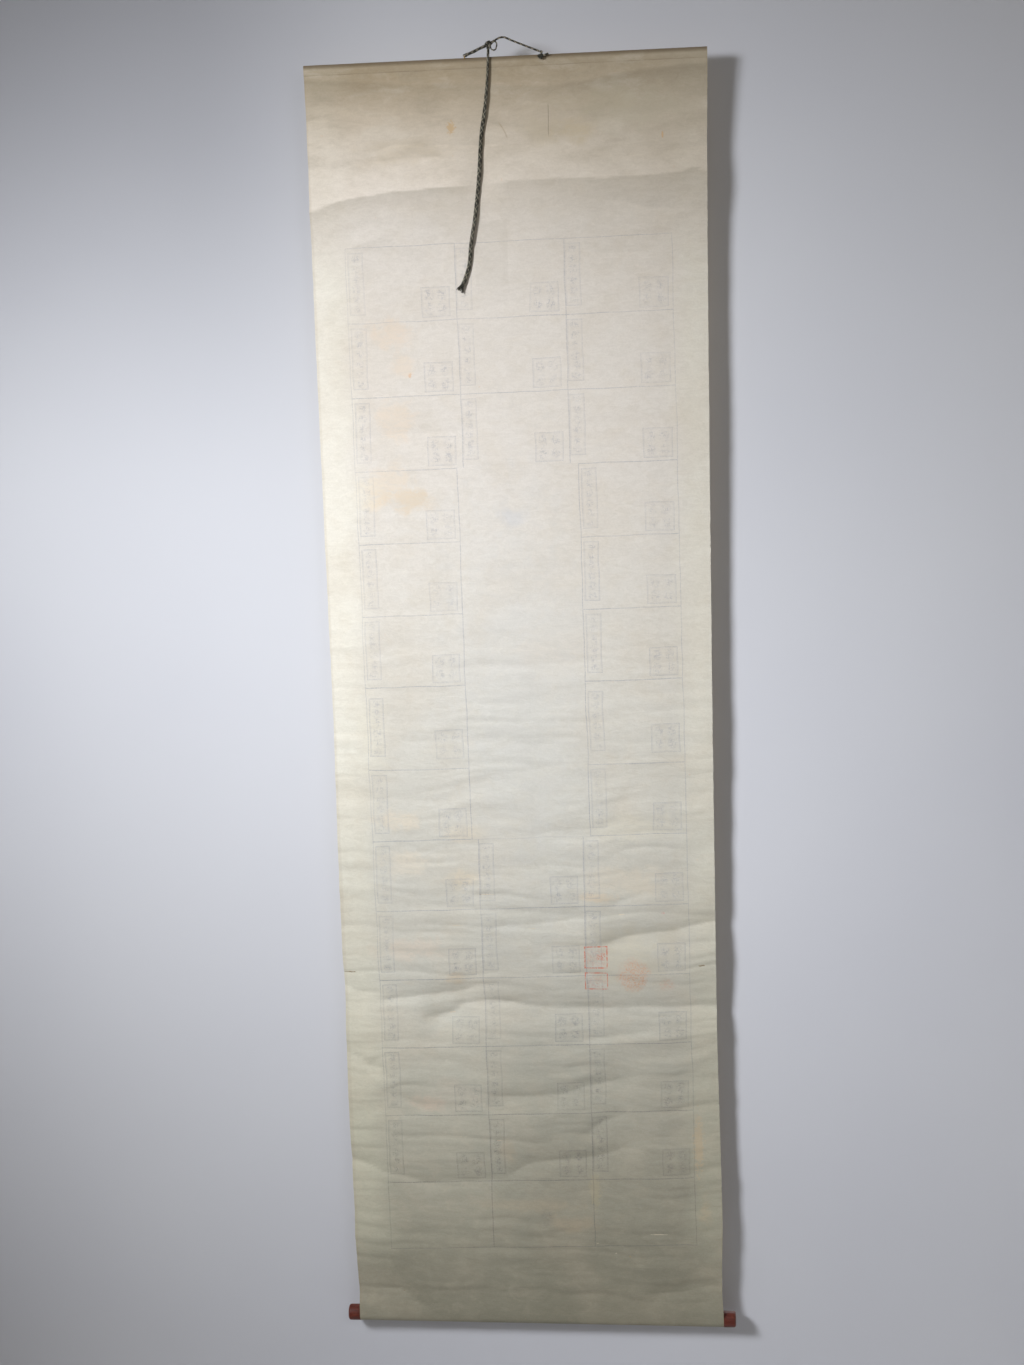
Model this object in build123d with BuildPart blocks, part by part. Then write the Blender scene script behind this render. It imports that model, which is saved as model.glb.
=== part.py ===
from build123d import *
from math import acos, atan2, cos, degrees, exp, pi, radians, sin, sqrt, tan
import os

# A hanging scroll with its back to the viewer. The origin is the point where the hook bears under the cord.
# X runs across the scroll, +Y points to the wall and the picture side, +Z points up.
# The top stave sits in a hem of the sheet, the roller in its bottom winding, and a cord on two eyelets carries all.

os.makedirs("parts", exist_ok=True)

# Sheet
sheet_width = 580
sheet_drop = 1942
sheet_thickness = 1.0
paste_gap = 0.1
flap_length = 15

# Top stave, half round, with its flat side to the back
stave_height = 12
stave_depth = 8
stave_back_radius = 3
stave_front_radius = 4.5
stave_foot_radius = 0.6

# Roller and its end knobs
roller_radius = 10.9
tenon_radius = 7.5
tenon_length = 14
tenon_chamfer = 1
knob_radius = 12.5
knob_length = 19
knob_rim = 3.5
knob_rim_share = 0.6
fit_gap = 0.1
socket_end_gap = 0.6

# Eyelets: wire rings, drawn with a few flats, on a shank driven into the rounded back corner of the stave
eyelet_spacing = 110
eyelet_angle = 45
ring_radius = 2.1
wire_radius = 0.7
wire_sides = 6
wire_turn = 30
ring_stand_off = 0.2
shank_depth = 7
shank_gap = 0.05

# Hanging cord
hook_rise = 24
hanging_cord_radius = 1.2
hook_arc_radius = 4.2
loop_knot_radius = 2.6
loop_knot_length = 5.2
knot_bevel = 0.9
knot_sides = 8
bevel_angle = 45
knot_wire_gap = 0.1
end_gap = 0.1
stopper_radius = 3.4
stopper_length = 6.6
stopper_lift = 0.3
stopper_drop = 5
tail_radius = 1.1
tail_length = 10
tail_rise = 3

# Tie cord, its knot on the left leg of the hanging cord, and its frayed end
tie_cord_radius = 2.75
tie_knot_radius = 4.4
tie_knot_length = 8.8
loop_radius = 4.2
loop_cord_radius = 1.2
loop_offset = (7.5, -3, -1)
tuft_length = 12
tuft_radius = 3.7
tie_cord_y = -1.2
tie_route_xz = [
    (-20.5, -11.9),
    (-22, -47),
    (-28, -97),
    (-35.5, -137),
    (-39, -180),
    (-45.5, -238),
    (-55, -285),
    (-57.5, -315),
    (-66, -337),
    (-73.5, -351),
]

# Waves and creases of the hanging sheet
wave_height = 1.1
wave_length = 210
wave_drift = 0.9
cross_wave_height = 0.5
cross_wave_length = 137
fade_length = 40
section_count = 6
fold_step = 20
# Each crease is a valley: level below the hook at mid width, rise to the right edge, arch (drop at mid width
# against the edges), depth and half height, then where along the width it is deepest and how far it reaches.
creases = [
    (-50, 0, 14, 1.5, 14, 0, 420),
    (-160, 9, 0, 1.2, 12, -200, 200),
    (-199, 17, -10, 2.4, 15, -40, 420),
    (-296, -6, 6, 1.0, 16, 120, 300),
    (-560, 8, -8, 0.9, 18, -120, 330),
    (-905, -10, 6, 0.9, 18, 60, 360),
    (-1322, 34, 0, 1.4, 14, 210, 160),
    (-1437, -14, 0, 2.4, 14, 20, 480),
    (-1535, 6, -10, 1.1, 15, -40, 340),
    (-1693, 12, -22, 1.6, 15, -110, 300),
    (-1900, 4, -42, 1.3, 15, 0, 500),
]

# Sizes that follow
half_width = sheet_width / 2
grow = paste_gap + sheet_thickness
edge_z = -hook_rise
stave_top_z = edge_z - grow
stave_foot_z = stave_top_z - stave_height
hem_foot_z = stave_foot_z - grow
ring_outer_radius = ring_radius + wire_radius
wrap_radius = roller_radius + grow
roller_z = edge_z - sheet_drop + wrap_radius

# The cord hangs in the plane y = 0, so the sheet stands behind it by the reach of the eyelets
ring_reach = stave_back_radius + grow + ring_stand_off + ring_outer_radius
loop_reach = ring_reach + ring_radius
corner_y = loop_reach * sin(radians(eyelet_angle))
corner_z = stave_top_z - stave_back_radius
stave_back_y = corner_y - stave_back_radius
sheet_y = stave_back_y - paste_gap
roller_y = sheet_y + wrap_radius


def outward(distance, x=0):
    """The point this far from the centre of the stave's back corner, along the shank."""
    angle = radians(eyelet_angle)
    return Vector(x, corner_y - distance * sin(angle), corner_z + distance * cos(angle))


# Places along the cord
loop_centre = outward(loop_reach)
hook_half_turn = atan2(-loop_centre.Z, eyelet_spacing / 2)
apex_z = hanging_cord_radius + hook_arc_radius * (1 / cos(hook_half_turn) - 1)
apex = Vector(0, 0, apex_z)


def sheet_offset(x, z):
    """How far the hanging sheet stands from its plane, towards the wall, at one point of its width and height."""
    start = flap_end_z - fade_length / 4
    end = winding_top_z
    fade = min(1, max(0, (start - z) / fade_length)) * min(1, max(0, (z - end) / fade_length))
    fade = fade * fade * (3 - 2 * fade)
    wave = wave_height * sin(2 * pi * z / wave_length + wave_drift * x / half_width)
    wave += cross_wave_height * sin(2 * pi * z / cross_wave_length - 2 * wave_drift * x / half_width)
    for level, rise, arch, depth, half_height, middle, reach in creases:
        along = x / half_width
        line = level + rise * along - arch * (1 - along * along)
        wave += depth * exp(-(((z - line) / half_height) ** 2)) * exp(-(((x - middle) / reach) ** 2))
    return fade * wave


# Heights of the sheet's outline
flap_end_z = edge_z - flap_length
web_top_z = flap_end_z - fade_length / 4
winding_angle = acos((wrap_radius - sheet_thickness) / wrap_radius)
winding_top_z = roller_z + wrap_radius * sin(winding_angle)
web_foot_z = winding_top_z + fade_length / 4
fold_count = round((web_top_z - web_foot_z) / fold_step)
web_heights = [web_top_z + (web_foot_z - web_top_z) * i / fold_count for i in range(fold_count + 1)]


def sheet_outline(x):
    """The closed outline of the sheet across its width at x: hem with flap, hanging web, winding on the roller."""
    hem_back_y = sheet_y - sheet_thickness
    web_front_y = sheet_y + sheet_thickness
    hem_front_y = stave_back_y + stave_depth + grow
    back_radius = stave_back_radius + grow
    front_radius = stave_front_radius + grow
    turn = degrees(winding_angle)
    back = [(sheet_y + sheet_offset(x, z), z) for z in web_heights]
    front = [(y + sheet_thickness, z) for y, z in back]
    Line((hem_back_y, flap_end_z), (hem_back_y, edge_z - back_radius))
    CenterArc((hem_back_y + back_radius, edge_z - back_radius), back_radius, 180, -90)
    Line((hem_back_y + back_radius, edge_z), (hem_front_y - front_radius, edge_z))
    CenterArc((hem_front_y - front_radius, edge_z - front_radius), front_radius, 90, -90)
    Line((hem_front_y, edge_z - front_radius), (hem_front_y, hem_foot_z + front_radius))
    CenterArc((hem_front_y - front_radius, hem_foot_z + front_radius), front_radius, 0, -90)
    Line((hem_front_y - front_radius, hem_foot_z), (web_front_y, hem_foot_z))
    Line((web_front_y, hem_foot_z), front[0])
    Polyline(*front)
    Line(front[-1], (web_front_y, winding_top_z))
    CenterArc((roller_y, roller_z), wrap_radius, 180 - turn, turn - 360)
    Line((sheet_y, roller_z), back[-1])
    Polyline(*back)
    Line(back[0], (sheet_y, flap_end_z))
    Line((sheet_y, flap_end_z), (hem_back_y, flap_end_z))


def stave_section(clearance):
    """The stave's section, its outline grown by a clearance."""
    middle = (stave_back_y + stave_depth / 2, stave_foot_z + stave_height / 2)
    with Locations(middle):
        Rectangle(stave_depth + 2 * clearance, stave_height + 2 * clearance)
    corners = vertices().group_by(Axis.X)
    fillet(corners[-1], stave_front_radius + clearance)
    back_corners = vertices().group_by(Axis.X)[0].sort_by(Axis.Y)
    fillet(back_corners[-1], stave_back_radius + clearance)
    fillet(vertices().group_by(Axis.X)[0].sort_by(Axis.Y)[0], stave_foot_radius + clearance)


def shank_plane(x, distance):
    """The plane across an eyelet's shank, at a distance from the centre of the stave's back corner."""
    return Plane(origin=outward(distance, x), x_dir=(1, 0, 0), z_dir=outward(1) - outward(0))


eyelet_places = {"left": -eyelet_spacing / 2, "right": eyelet_spacing / 2}
shank_end = stave_back_radius - shank_depth

with BuildPart() as scroll_sheet:
    for i in range(section_count):
        station = -half_width + sheet_width * i / (section_count - 1)
        with BuildSketch(Plane.YZ.offset(station)):
            with BuildLine():
                sheet_outline(station)
            make_face()
    loft(ruled=True)
    with BuildSketch(Plane.YZ.offset(-half_width)):
        stave_section(paste_gap)
        with Locations((roller_y, roller_z)):
            Circle(roller_radius + paste_gap)
    extrude(amount=sheet_width, mode=Mode.SUBTRACT)
    for eyelet_x in eyelet_places.values():
        with BuildSketch(shank_plane(eyelet_x, ring_reach)):
            Circle(wire_radius + shank_gap)
        extrude(amount=shank_end - ring_reach, mode=Mode.SUBTRACT)
scroll_sheet.part.label = "scroll_sheet"
export_step(scroll_sheet.part, "parts/scroll_sheet.step")

with BuildPart() as top_stave:
    with BuildSketch(Plane.YZ.offset(-half_width)):
        stave_section(0)
    extrude(amount=sheet_width)
    for eyelet_x in eyelet_places.values():
        with BuildSketch(shank_plane(eyelet_x, ring_reach)):
            Circle(wire_radius + shank_gap)
        extrude(amount=shank_end - shank_gap - ring_reach, mode=Mode.SUBTRACT)
top_stave.part.label = "top_stave"
export_step(top_stave.part, "parts/top_stave.step")

with BuildPart() as bottom_roller:
    with BuildSketch(Plane.YZ.offset(-half_width)):
        with Locations((roller_y, roller_z)):
            Circle(roller_radius)
    extrude(amount=sheet_width)
    with BuildSketch(Plane.YZ.offset(-half_width - tenon_length)):
        with Locations((roller_y, roller_z)):
            Circle(tenon_radius)
    extrude(amount=sheet_width + 2 * tenon_length)
    tenon_ends = bottom_roller.faces().filter_by(Axis.X)
    chamfer([tenon_ends.sort_by(Axis.X)[0].edges(), tenon_ends.sort_by(Axis.X)[-1].edges()], tenon_chamfer)
bottom_roller.part.label = "bottom_roller"
export_step(bottom_roller.part, "parts/bottom_roller.step")


def make_knob(side):
    """One turned knob with a rounded rim, whose blind socket slides over the tenon at its end of the roller."""
    axis_plane = Plane(origin=(0, roller_y, roller_z), x_dir=(1, 0, 0), z_dir=(0, -1, 0))
    inner = half_width + fit_gap
    outer = inner + knob_length
    socket_end = half_width + tenon_length + socket_end_gap
    socket_radius = tenon_radius + fit_gap
    outline = [
        (inner, socket_radius),
        (inner, knob_radius),
        (outer - knob_rim, knob_radius),
        (outer, knob_radius - knob_rim * knob_rim_share),
        (outer, 0),
        (socket_end, 0),
        (socket_end, socket_radius),
    ]
    with BuildPart() as knob:
        with BuildSketch(axis_plane):
            with BuildLine():
                Polyline(*[(side * x, r) for x, r in outline], close=True)
            make_face()
        revolve(axis=Axis(axis_plane.origin, (1, 0, 0)))
    return knob


roller_knob_left = make_knob(-1)
roller_knob_left.part.label = "roller_knob_left"
export_step(roller_knob_left.part, "parts/roller_knob_left.step")

roller_knob_right = make_knob(1)
roller_knob_right.part.label = "roller_knob_right"
export_step(roller_knob_right.part, "parts/roller_knob_right.step")


for place, eyelet_x in eyelet_places.items():
    with BuildPart() as eyelet:
        with BuildSketch(shank_plane(eyelet_x, ring_reach)):
            with Locations((0, ring_radius)):
                RegularPolygon(wire_radius, wire_sides, rotation=wire_turn)
        revolve(axis=Axis(outward(ring_reach, eyelet_x), (1, 0, 0)))
        with BuildSketch(shank_plane(eyelet_x, ring_reach - ring_radius)):
            RegularPolygon(wire_radius, wire_sides)
        extrude(amount=shank_end - ring_reach + ring_radius)
    eyelet.part.label = f"eyelet_{place}"
    export_step(eyelet.part, f"parts/eyelet_{place}.step")

# Plain solids of the cords from here on

with BuildPart() as hanging_cord:
    ends = []
    for eyelet_x in eyelet_places.values():
        loop = outward(loop_reach, eyelet_x)
        ends.append(loop + (apex - loop).normalized() * (loop_knot_length / 2 + end_gap))
    with BuildLine() as hanging_path:
        FilletPolyline(ends[0], apex, ends[1], radius=hook_arc_radius)
    with BuildSketch(Plane(origin=ends[0], z_dir=apex - ends[0])):
        Circle(hanging_cord_radius)
    sweep(path=hanging_path.line)
hanging_cord.part.label = "hanging_cord"
export_step(hanging_cord.part, "parts/hanging_cord.step")


def barrel_knot(centre, direction, radius, length):
    """A drawn-up knot as a plain bevelled block along its cord."""
    middle = Plane(origin=centre, z_dir=direction)
    for end in (middle, Plane(origin=centre, x_dir=middle.x_dir, z_dir=-middle.z_dir)):
        with BuildSketch(end) as belly:
            RegularPolygon(radius, knot_sides)
        extrude(belly.sketch, amount=length / 2 - knot_bevel)
        with BuildSketch(end.offset(length / 2 - knot_bevel)) as shoulder:
            RegularPolygon(radius, knot_sides)
        extrude(shoulder.sketch, amount=knot_bevel, taper=bevel_angle)


def saddle_slot(x):
    """Cuts the slot in a knot that sits astride the ring of the eyelet at x."""
    slot_width = 2 * (wire_radius + knot_wire_gap)
    with BuildSketch(Plane(origin=outward(ring_reach, x), x_dir=(0, 1, 0), z_dir=(1, 0, 0))) as slot:
        Circle(ring_outer_radius + knot_wire_gap)
    extrude(slot.sketch, amount=slot_width / 2, both=True, mode=Mode.SUBTRACT)


with BuildPart() as hanging_knot_left:
    loop = outward(loop_reach, eyelet_places["left"])
    barrel_knot(loop, apex - loop, loop_knot_radius, loop_knot_length)
    saddle_slot(eyelet_places["left"])
hanging_knot_left.part.label = "hanging_knot_left"
export_step(hanging_knot_left.part, "parts/hanging_knot_left.step")

with BuildPart() as hanging_knot_right:
    loop = outward(loop_reach, eyelet_places["right"])
    stopper_y = sheet_y - sheet_thickness - stopper_lift - stopper_radius
    stopper = Vector(loop.X, stopper_y, loop.Z - stopper_drop)
    barrel_knot(loop, apex - loop, loop_knot_radius, loop_knot_length)
    barrel_knot(stopper, (1, 0, 0), stopper_radius, stopper_length)
    tail_direction = Vector(tail_length, 0, tail_rise)
    with BuildSketch(Plane(origin=stopper, z_dir=tail_direction)):
        RegularPolygon(tail_radius, knot_sides)
    extrude(amount=tail_direction.length)
    saddle_slot(eyelet_places["right"])
hanging_knot_right.part.label = "hanging_knot_right"
export_step(hanging_knot_right.part, "parts/hanging_knot_right.step")

left_leg = apex - outward(loop_reach, eyelet_places["left"])
tie_points = [Vector(x, tie_cord_y, z) for x, z in tie_route_xz]
tie_start = (tie_points[0] - tie_points[1]).normalized()

with BuildPart() as tie_knot:
    knot_centre = tie_points[0] + tie_start * (tie_knot_length / 2 + end_gap)
    barrel_knot(knot_centre, tie_start, tie_knot_radius, tie_knot_length)
    with BuildSketch(Plane(origin=knot_centre + Vector(loop_offset), z_dir=(0, 1, 0))):
        RegularPolygon(loop_radius + loop_cord_radius, knot_sides)
        RegularPolygon(loop_radius - loop_cord_radius, knot_sides, mode=Mode.SUBTRACT)
    extrude(amount=loop_cord_radius, both=True)
    with BuildSketch(Plane(origin=apex, z_dir=left_leg)):
        Circle(hanging_cord_radius + knot_wire_gap)
    extrude(amount=-left_leg.length, mode=Mode.SUBTRACT)
tie_knot.part.label = "tie_knot"
export_step(tie_knot.part, "parts/tie_knot.step")

tie_radii = []
for before, here, after in zip(tie_points, tie_points[1:], tie_points[2:]):
    turn = (here - before).get_angle(after - here)
    shorter = min((here - before).length, (after - here).length)
    tie_radii.append(0.45 * shorter / tan(radians(turn / 2)))

with BuildPart() as tie_cord:
    with BuildLine() as tie_path:
        FilletPolyline(*tie_points, radius=tie_radii)
    with BuildSketch(Plane(origin=tie_points[0], z_dir=-tie_start)):
        Circle(tie_cord_radius)
    sweep(path=tie_path.line)
tie_cord.part.label = "tie_cord"
export_step(tie_cord.part, "parts/tie_cord.step")

with BuildPart() as tie_tuft:
    cord_end = Plane(origin=tie_points[-1], z_dir=tie_points[-1] - tie_points[-2])
    with BuildSketch(cord_end):
        RegularPolygon(tuft_radius, knot_sides)
    extrude(amount=tuft_length)
tie_tuft.part.label = "tie_tuft"
export_step(tie_tuft.part, "parts/tie_tuft.step")

for name, path, tube, radius in [
    ("hanging_cord", hanging_path, hanging_cord, hanging_cord_radius),
    ("tie_cord", tie_path, tie_cord, tie_cord_radius),
]:
    length = path.wires()[0].length
    share = tube.part.volume / (pi * radius**2 * length)
    print(f"{name}: length {length:.1f} mm, volume is {share:.4f} of section times length")
print("tie_cord bend radii:", [round(r) for r in tie_radii])
print("hanging_cord bend radius:", hook_arc_radius, "turn:", round(2 * degrees(hook_half_turn), 1))
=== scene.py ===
import functools
import math
import random

import bpy
import numpy as np
from mathutils import Matrix, Vector, geometry


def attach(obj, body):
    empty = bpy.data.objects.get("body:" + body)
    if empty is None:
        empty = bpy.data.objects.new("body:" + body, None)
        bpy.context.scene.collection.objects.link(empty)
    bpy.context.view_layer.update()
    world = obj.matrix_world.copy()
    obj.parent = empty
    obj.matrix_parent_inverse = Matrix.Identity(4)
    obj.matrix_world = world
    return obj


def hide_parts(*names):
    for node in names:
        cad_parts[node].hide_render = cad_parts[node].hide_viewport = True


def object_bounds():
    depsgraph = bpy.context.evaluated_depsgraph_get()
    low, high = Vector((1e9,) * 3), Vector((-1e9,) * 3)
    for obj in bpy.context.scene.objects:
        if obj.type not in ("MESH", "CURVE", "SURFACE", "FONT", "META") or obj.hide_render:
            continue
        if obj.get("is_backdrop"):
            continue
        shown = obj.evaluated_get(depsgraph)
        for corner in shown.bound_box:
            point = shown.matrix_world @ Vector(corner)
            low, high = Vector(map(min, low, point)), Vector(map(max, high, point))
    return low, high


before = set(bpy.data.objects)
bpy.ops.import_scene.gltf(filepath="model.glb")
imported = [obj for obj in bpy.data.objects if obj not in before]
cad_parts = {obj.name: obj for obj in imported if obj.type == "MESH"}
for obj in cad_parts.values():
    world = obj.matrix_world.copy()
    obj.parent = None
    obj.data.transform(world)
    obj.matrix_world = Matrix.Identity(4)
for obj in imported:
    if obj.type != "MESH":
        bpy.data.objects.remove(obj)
cad_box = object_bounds()

# Sizes below are in millimetres in the CAD's frame, and become metres when a mesh is made.
MM = 0.001

# The sheet and its stave and roller, as the CAD has them
HALF_WIDTH = 290.0
EDGE_Z = -24.0
FOOT_Z = -1966.0
SHEET_Y = 3.405
FLAP_END_Z = EDGE_Z - 15.0
FLAP_EDGE = 0.32
PASTE = 0.1
CAD_THICKNESS = 1.0
PAPER = 0.6
WRAP_RADIUS = 12.0
ROLLER_BORE = 11.0
ROLLER_Y = SHEET_Y + WRAP_RADIUS
ROLLER_Z = FOOT_Z + WRAP_RADIUS
STAVE = (SHEET_Y + PASTE, SHEET_Y + PASTE + 8.0, EDGE_Z - 13.1, EDGE_Z - 1.1)
STAVE_BACK_RADIUS = 3.0
STAVE_FRONT_RADIUS = 4.5
STAVE_FOOT_RADIUS = 0.6

# The tie cord's way down, X, Y and Z: below the stave it rests against the set-back sheet, and its
# frayed end goes on from the last point
TIE_ROUTE = [
    (-20.5, -0.6, -11.9), (-22, 0.3, -47), (-28.4, 4.3, -97), (-36.2, 6.9, -137), (-38.6, 5.3, -180),
    (-45.8, 5.5, -238), (-55.4, 6.3, -285), (-57.4, 6.3, -313), (-64.5, 5.6, -333), (-69.0, 5.2, -342.5),
]
EYELET_X = 55.0
# The field of the random values, wider and taller than the sheet
FIELD_X, FIELD_Z, FIELD_WIDTH, FIELD_HEIGHT = -400, -2100, 820, 2200


# ---------------------------------------------------------------- helpers
def smooth(value, low, high):
    t = np.clip((value - low) / (high - low), 0, 1)
    return t * t * (3 - 2 * t)


def mesh_object(name, vertices, faces, sharp=None):
    """A linked mesh, shaded smooth up to the sharp angle in radians, or flat without one."""
    mesh = bpy.data.meshes.new(name)
    mesh.from_pydata([tuple(v) for v in vertices], [], faces)
    mesh.validate()
    if sharp:
        mesh.polygons.foreach_set("use_smooth", [True] * len(mesh.polygons))
        mesh.set_sharp_from_angle(angle=sharp)
    mesh.update()
    obj = bpy.data.objects.new(name, mesh)
    bpy.context.scene.collection.objects.link(obj)
    return obj


def around(count):
    """The angles of evenly spaced points on a circle."""
    return np.linspace(0, 2 * np.pi, count, endpoint=False)


def grid_faces(start, rows, sides, closed=False):
    """Quads between rings of vertices that follow each other, the last joined to the first if closed."""
    faces = []
    for i in range(rows if closed else rows - 1):
        a, b = start + i * sides, start + (i + 1) % rows * sides
        for s in range(sides):
            s2 = (s + 1) % sides
            faces.append((a + s, a + s2, b + s2, b + s))
    return faces


def lattice(x, z, cell_x, cell_z, rng):
    """Smooth random values from -1 to 1 on a grid of cells, read at x and z."""
    gx, gz = (x - FIELD_X) / cell_x, (z - FIELD_Z) / cell_z
    table = rng.uniform(-1, 1, (int(FIELD_WIDTH / cell_x) + 4, int(FIELD_HEIGHT / cell_z) + 4))
    ix, iz = np.floor(gx).astype(int), np.floor(gz).astype(int)
    fx, fz = gx - ix, gz - iz
    fx, fz = (t * t * t * (t * (t * 6 - 15) + 10) for t in (fx, fz))
    a = table[ix, iz] * (1 - fx) + table[ix + 1, iz] * fx
    b = table[ix, iz + 1] * (1 - fx) + table[ix + 1, iz + 1] * fx
    return a * (1 - fz) + b * fz


# ---------------------------------------------------------------- sheet
# Folds measured on the photograph: points across the width in millimetres, how far the paper is
# pushed back there (negative: it stands forward), its reach above and below, and how much the paper
# is soiled and painted with shade (or, where negative, rubbed pale and painted with highlight) just above and just
# below it.
CREASES = [
    ([(-287, -231), (-270, -224), (-258, -219), (-237, -214), (-191, -208), (-121, -204), (-60, -201)],
     -4.2, 42, 24, -0.12, 0.16),
    ([(-11, -199), (27, -195), (84, -197), (200, -198), (253, -194), (269, -187), (285, -194)],
     -3.6, 30, 30, -0.11, 0.15),
    ([(-287, -167), (-247, -170), (-219, -162), (-160, -160), (-99, -159)], 1.6, 9, 14, 0.075, -0.03),
    ([(-189, -147), (-172, -141), (-151, -139), (-57, -145), (39, -146)], 1.8, 18, 12, 0.06, -0.05),
    ([(148, -173), (164, -183), (180, -195)], 1.4, 10, 12, 0.05, -0.04),
    ([(171, -150), (191, -155), (221, -164), (250, -162), (286, -158)], 1.8, 14, 14, 0.09, -0.05),
    ([(153, -228), (205, -243), (248, -243)], 1.6, 16, 12, 0.05, -0.05),
    ([(-260, -79), (-190, -98)], 1.2, 12, 14, 0.05, -0.03),
    ([(-233, -283), (-190, -269), (-140, -287)], -1.4, 10, 18, -0.02, 0.06),
    ([(59, -295), (119, -299), (198, -305)], 0.8, 14, 14, 0.03, -0.02),
    ([(-240, -558), (-61, -550)], 0.8, 16, 12, 0.03, -0.02),
    ([(-61, -902), (58, -902), (110, -901)], 1.2, 16, 12, 0.03, -0.03),
    ([(-111, -1007), (18, -1026), (58, -1019)], 1.0, 20, 14, 0.04, -0.02),
    ([(-62, -1074), (58, -1058), (148, -1053)], 1.2, 14, 16, 0.03, -0.02),
    ([(-241, -1106), (-121, -1114)], 1.2, 18, 14, 0.05, -0.02),
    ([(18, -1166), (88, -1156)], 1.2, 16, 12, 0.04, -0.02),
    ([(-201, -1185), (-62, -1180)], 1.2, 14, 16, 0.03, -0.02),
    ([(-44, -1308), (-4, -1307), (46, -1303), (76, -1299)], 2.4, 20, 16, 0.04, -0.05),
    ([(119, -1337), (154, -1327), (193, -1322), (228, -1317), (284, -1304)], 3.2, 26, 20, 0.06, -0.04),
    ([(-292, -1407), (-272, -1417), (-247, -1419)], 3.0, 16, 22, 0.03, -0.03),
    ([(-229, -1429), (-153, -1420), (-118, -1417), (-87, -1409)], 2.2, 20, 16, 0.05, -0.02),
    ([(-155, -1459), (-119, -1449), (-108, -1436), (-68, -1430), (-27, -1433), (13, -1440), (42, -1443), (283, -1439)],
     5.0, 34, 30, 0.07, -0.05),
    ([(90, -1500), (175, -1494), (283, -1480)], -2.2, 24, 20, -0.02, 0.03),
    ([(88, -1491), (147, -1485), (188, -1479)], 1.6, 12, 10, 0.03, -0.03),
    ([(-289, -1517), (-269, -1525), (-263, -1538), (-240, -1543), (-233, -1557)], 2.6, 14, 18, 0.03, -0.05),
    ([(-221, -1583), (-175, -1604)], 1.6, 10, 14, 0.02, -0.03),
    ([(-52, -1587), (48, -1581), (94, -1565), (149, -1554)], 2.2, 20, 16, 0.04, -0.03),
    ([(82, -1646), (108, -1623), (138, -1615)], 2.2, 14, 16, 0.03, -0.03),
    ([(-292, -1691), (-272, -1699), (-241, -1712), (-216, -1717), (-175, -1730), (-149, -1727), (-67, -1723)],
     3.2, 22, 20, 0.05, -0.05),
    ([(-42, -1715), (-16, -1698), (15, -1692), (92, -1683), (147, -1667)], 2.6, 20, 18, 0.04, -0.04),
    ([(-291, -1906), (-270, -1909), (-223, -1910), (-197, -1929), (-158, -1951)], 3.4, 26, 22, 0.03, -0.06),
    ([(185, -1911), (228, -1907), (264, -1898), (287, -1895)], 3.0, 22, 20, 0.03, -0.06),
]
# Where the sheet leaves the stave it turns back towards the wall along this line
SHOULDER = [
    (-286, -44.7), (-217, -49.7), (-166, -53.7), (-123, -59.6), (-79, -57.7), (-34, -62.7), (8, -64.7), (52, -67.7),
    (104, -64.8), (152, -57.0), (192, -52.2), (232, -49.3), (262, -46.9), (287, -46.9),
]
# The long edges, as (height, X), where the photograph has them
LEFT_EDGE = [
    (-1966, -290), (-1900, -290.6), (-1820, -293), (-1750, -292.2), (-1640, -294.6), (-1500, -294.2), (-1420, -292.4),
    (-1300, -293.8), (-1100, -292.6), (-980, -291), (-700, -292), (-300, -292), (-150, -290.6), (-60, -290),
]
RIGHT_EDGE = [
    (-1966, 290), (-1935, 288), (-1870, 288.4), (-1800, 290.2), (-1740, 289.6), (-1610, 287.4), (-1480, 285.4),
    (-1000, 284.8), (-600, 285.7), (-300, 287), (-150, 288), (-60, 290),
]
# How far the sheet stands back below the shoulder, and over what height it gets there
SET_BACK, SET_BACK_REACH = 4.6, 27
# A long swell down the sheet: its size and length
SWELL, SWELL_LENGTH = 0.8, 410
# How far the long edges curl back
CURL = 5.0
# The run over which a crease dies out at its ends
FADE = 26.0
# Below this height the creases are deeper, more soiled and painted with stronger shade and highlight
LOW_PART = -1250
LOW_CREASE = 1.35
LOW_SOIL_AND_SHADING = 1.8


def along(x, points):
    return np.interp(x, [p[0] for p in points], [p[1] for p in points])


def crease_mask(x, points):
    low, high = points[0][0], points[-1][0]
    mask = np.ones_like(x)
    if low > -280:
        mask = mask * smooth(x, low - FADE, low + FADE * 0.6)
    if high < 280:
        mask = mask * (1 - smooth(x, high - FADE * 0.6, high + FADE))
    return mask


def bend(x, z, rng):
    """A little waver, so that no crease is a ruled line."""
    return 1.6 * lattice(x, z, 34, 300, rng) + 0.6 * lattice(x, z, 12, 300, rng)


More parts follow.
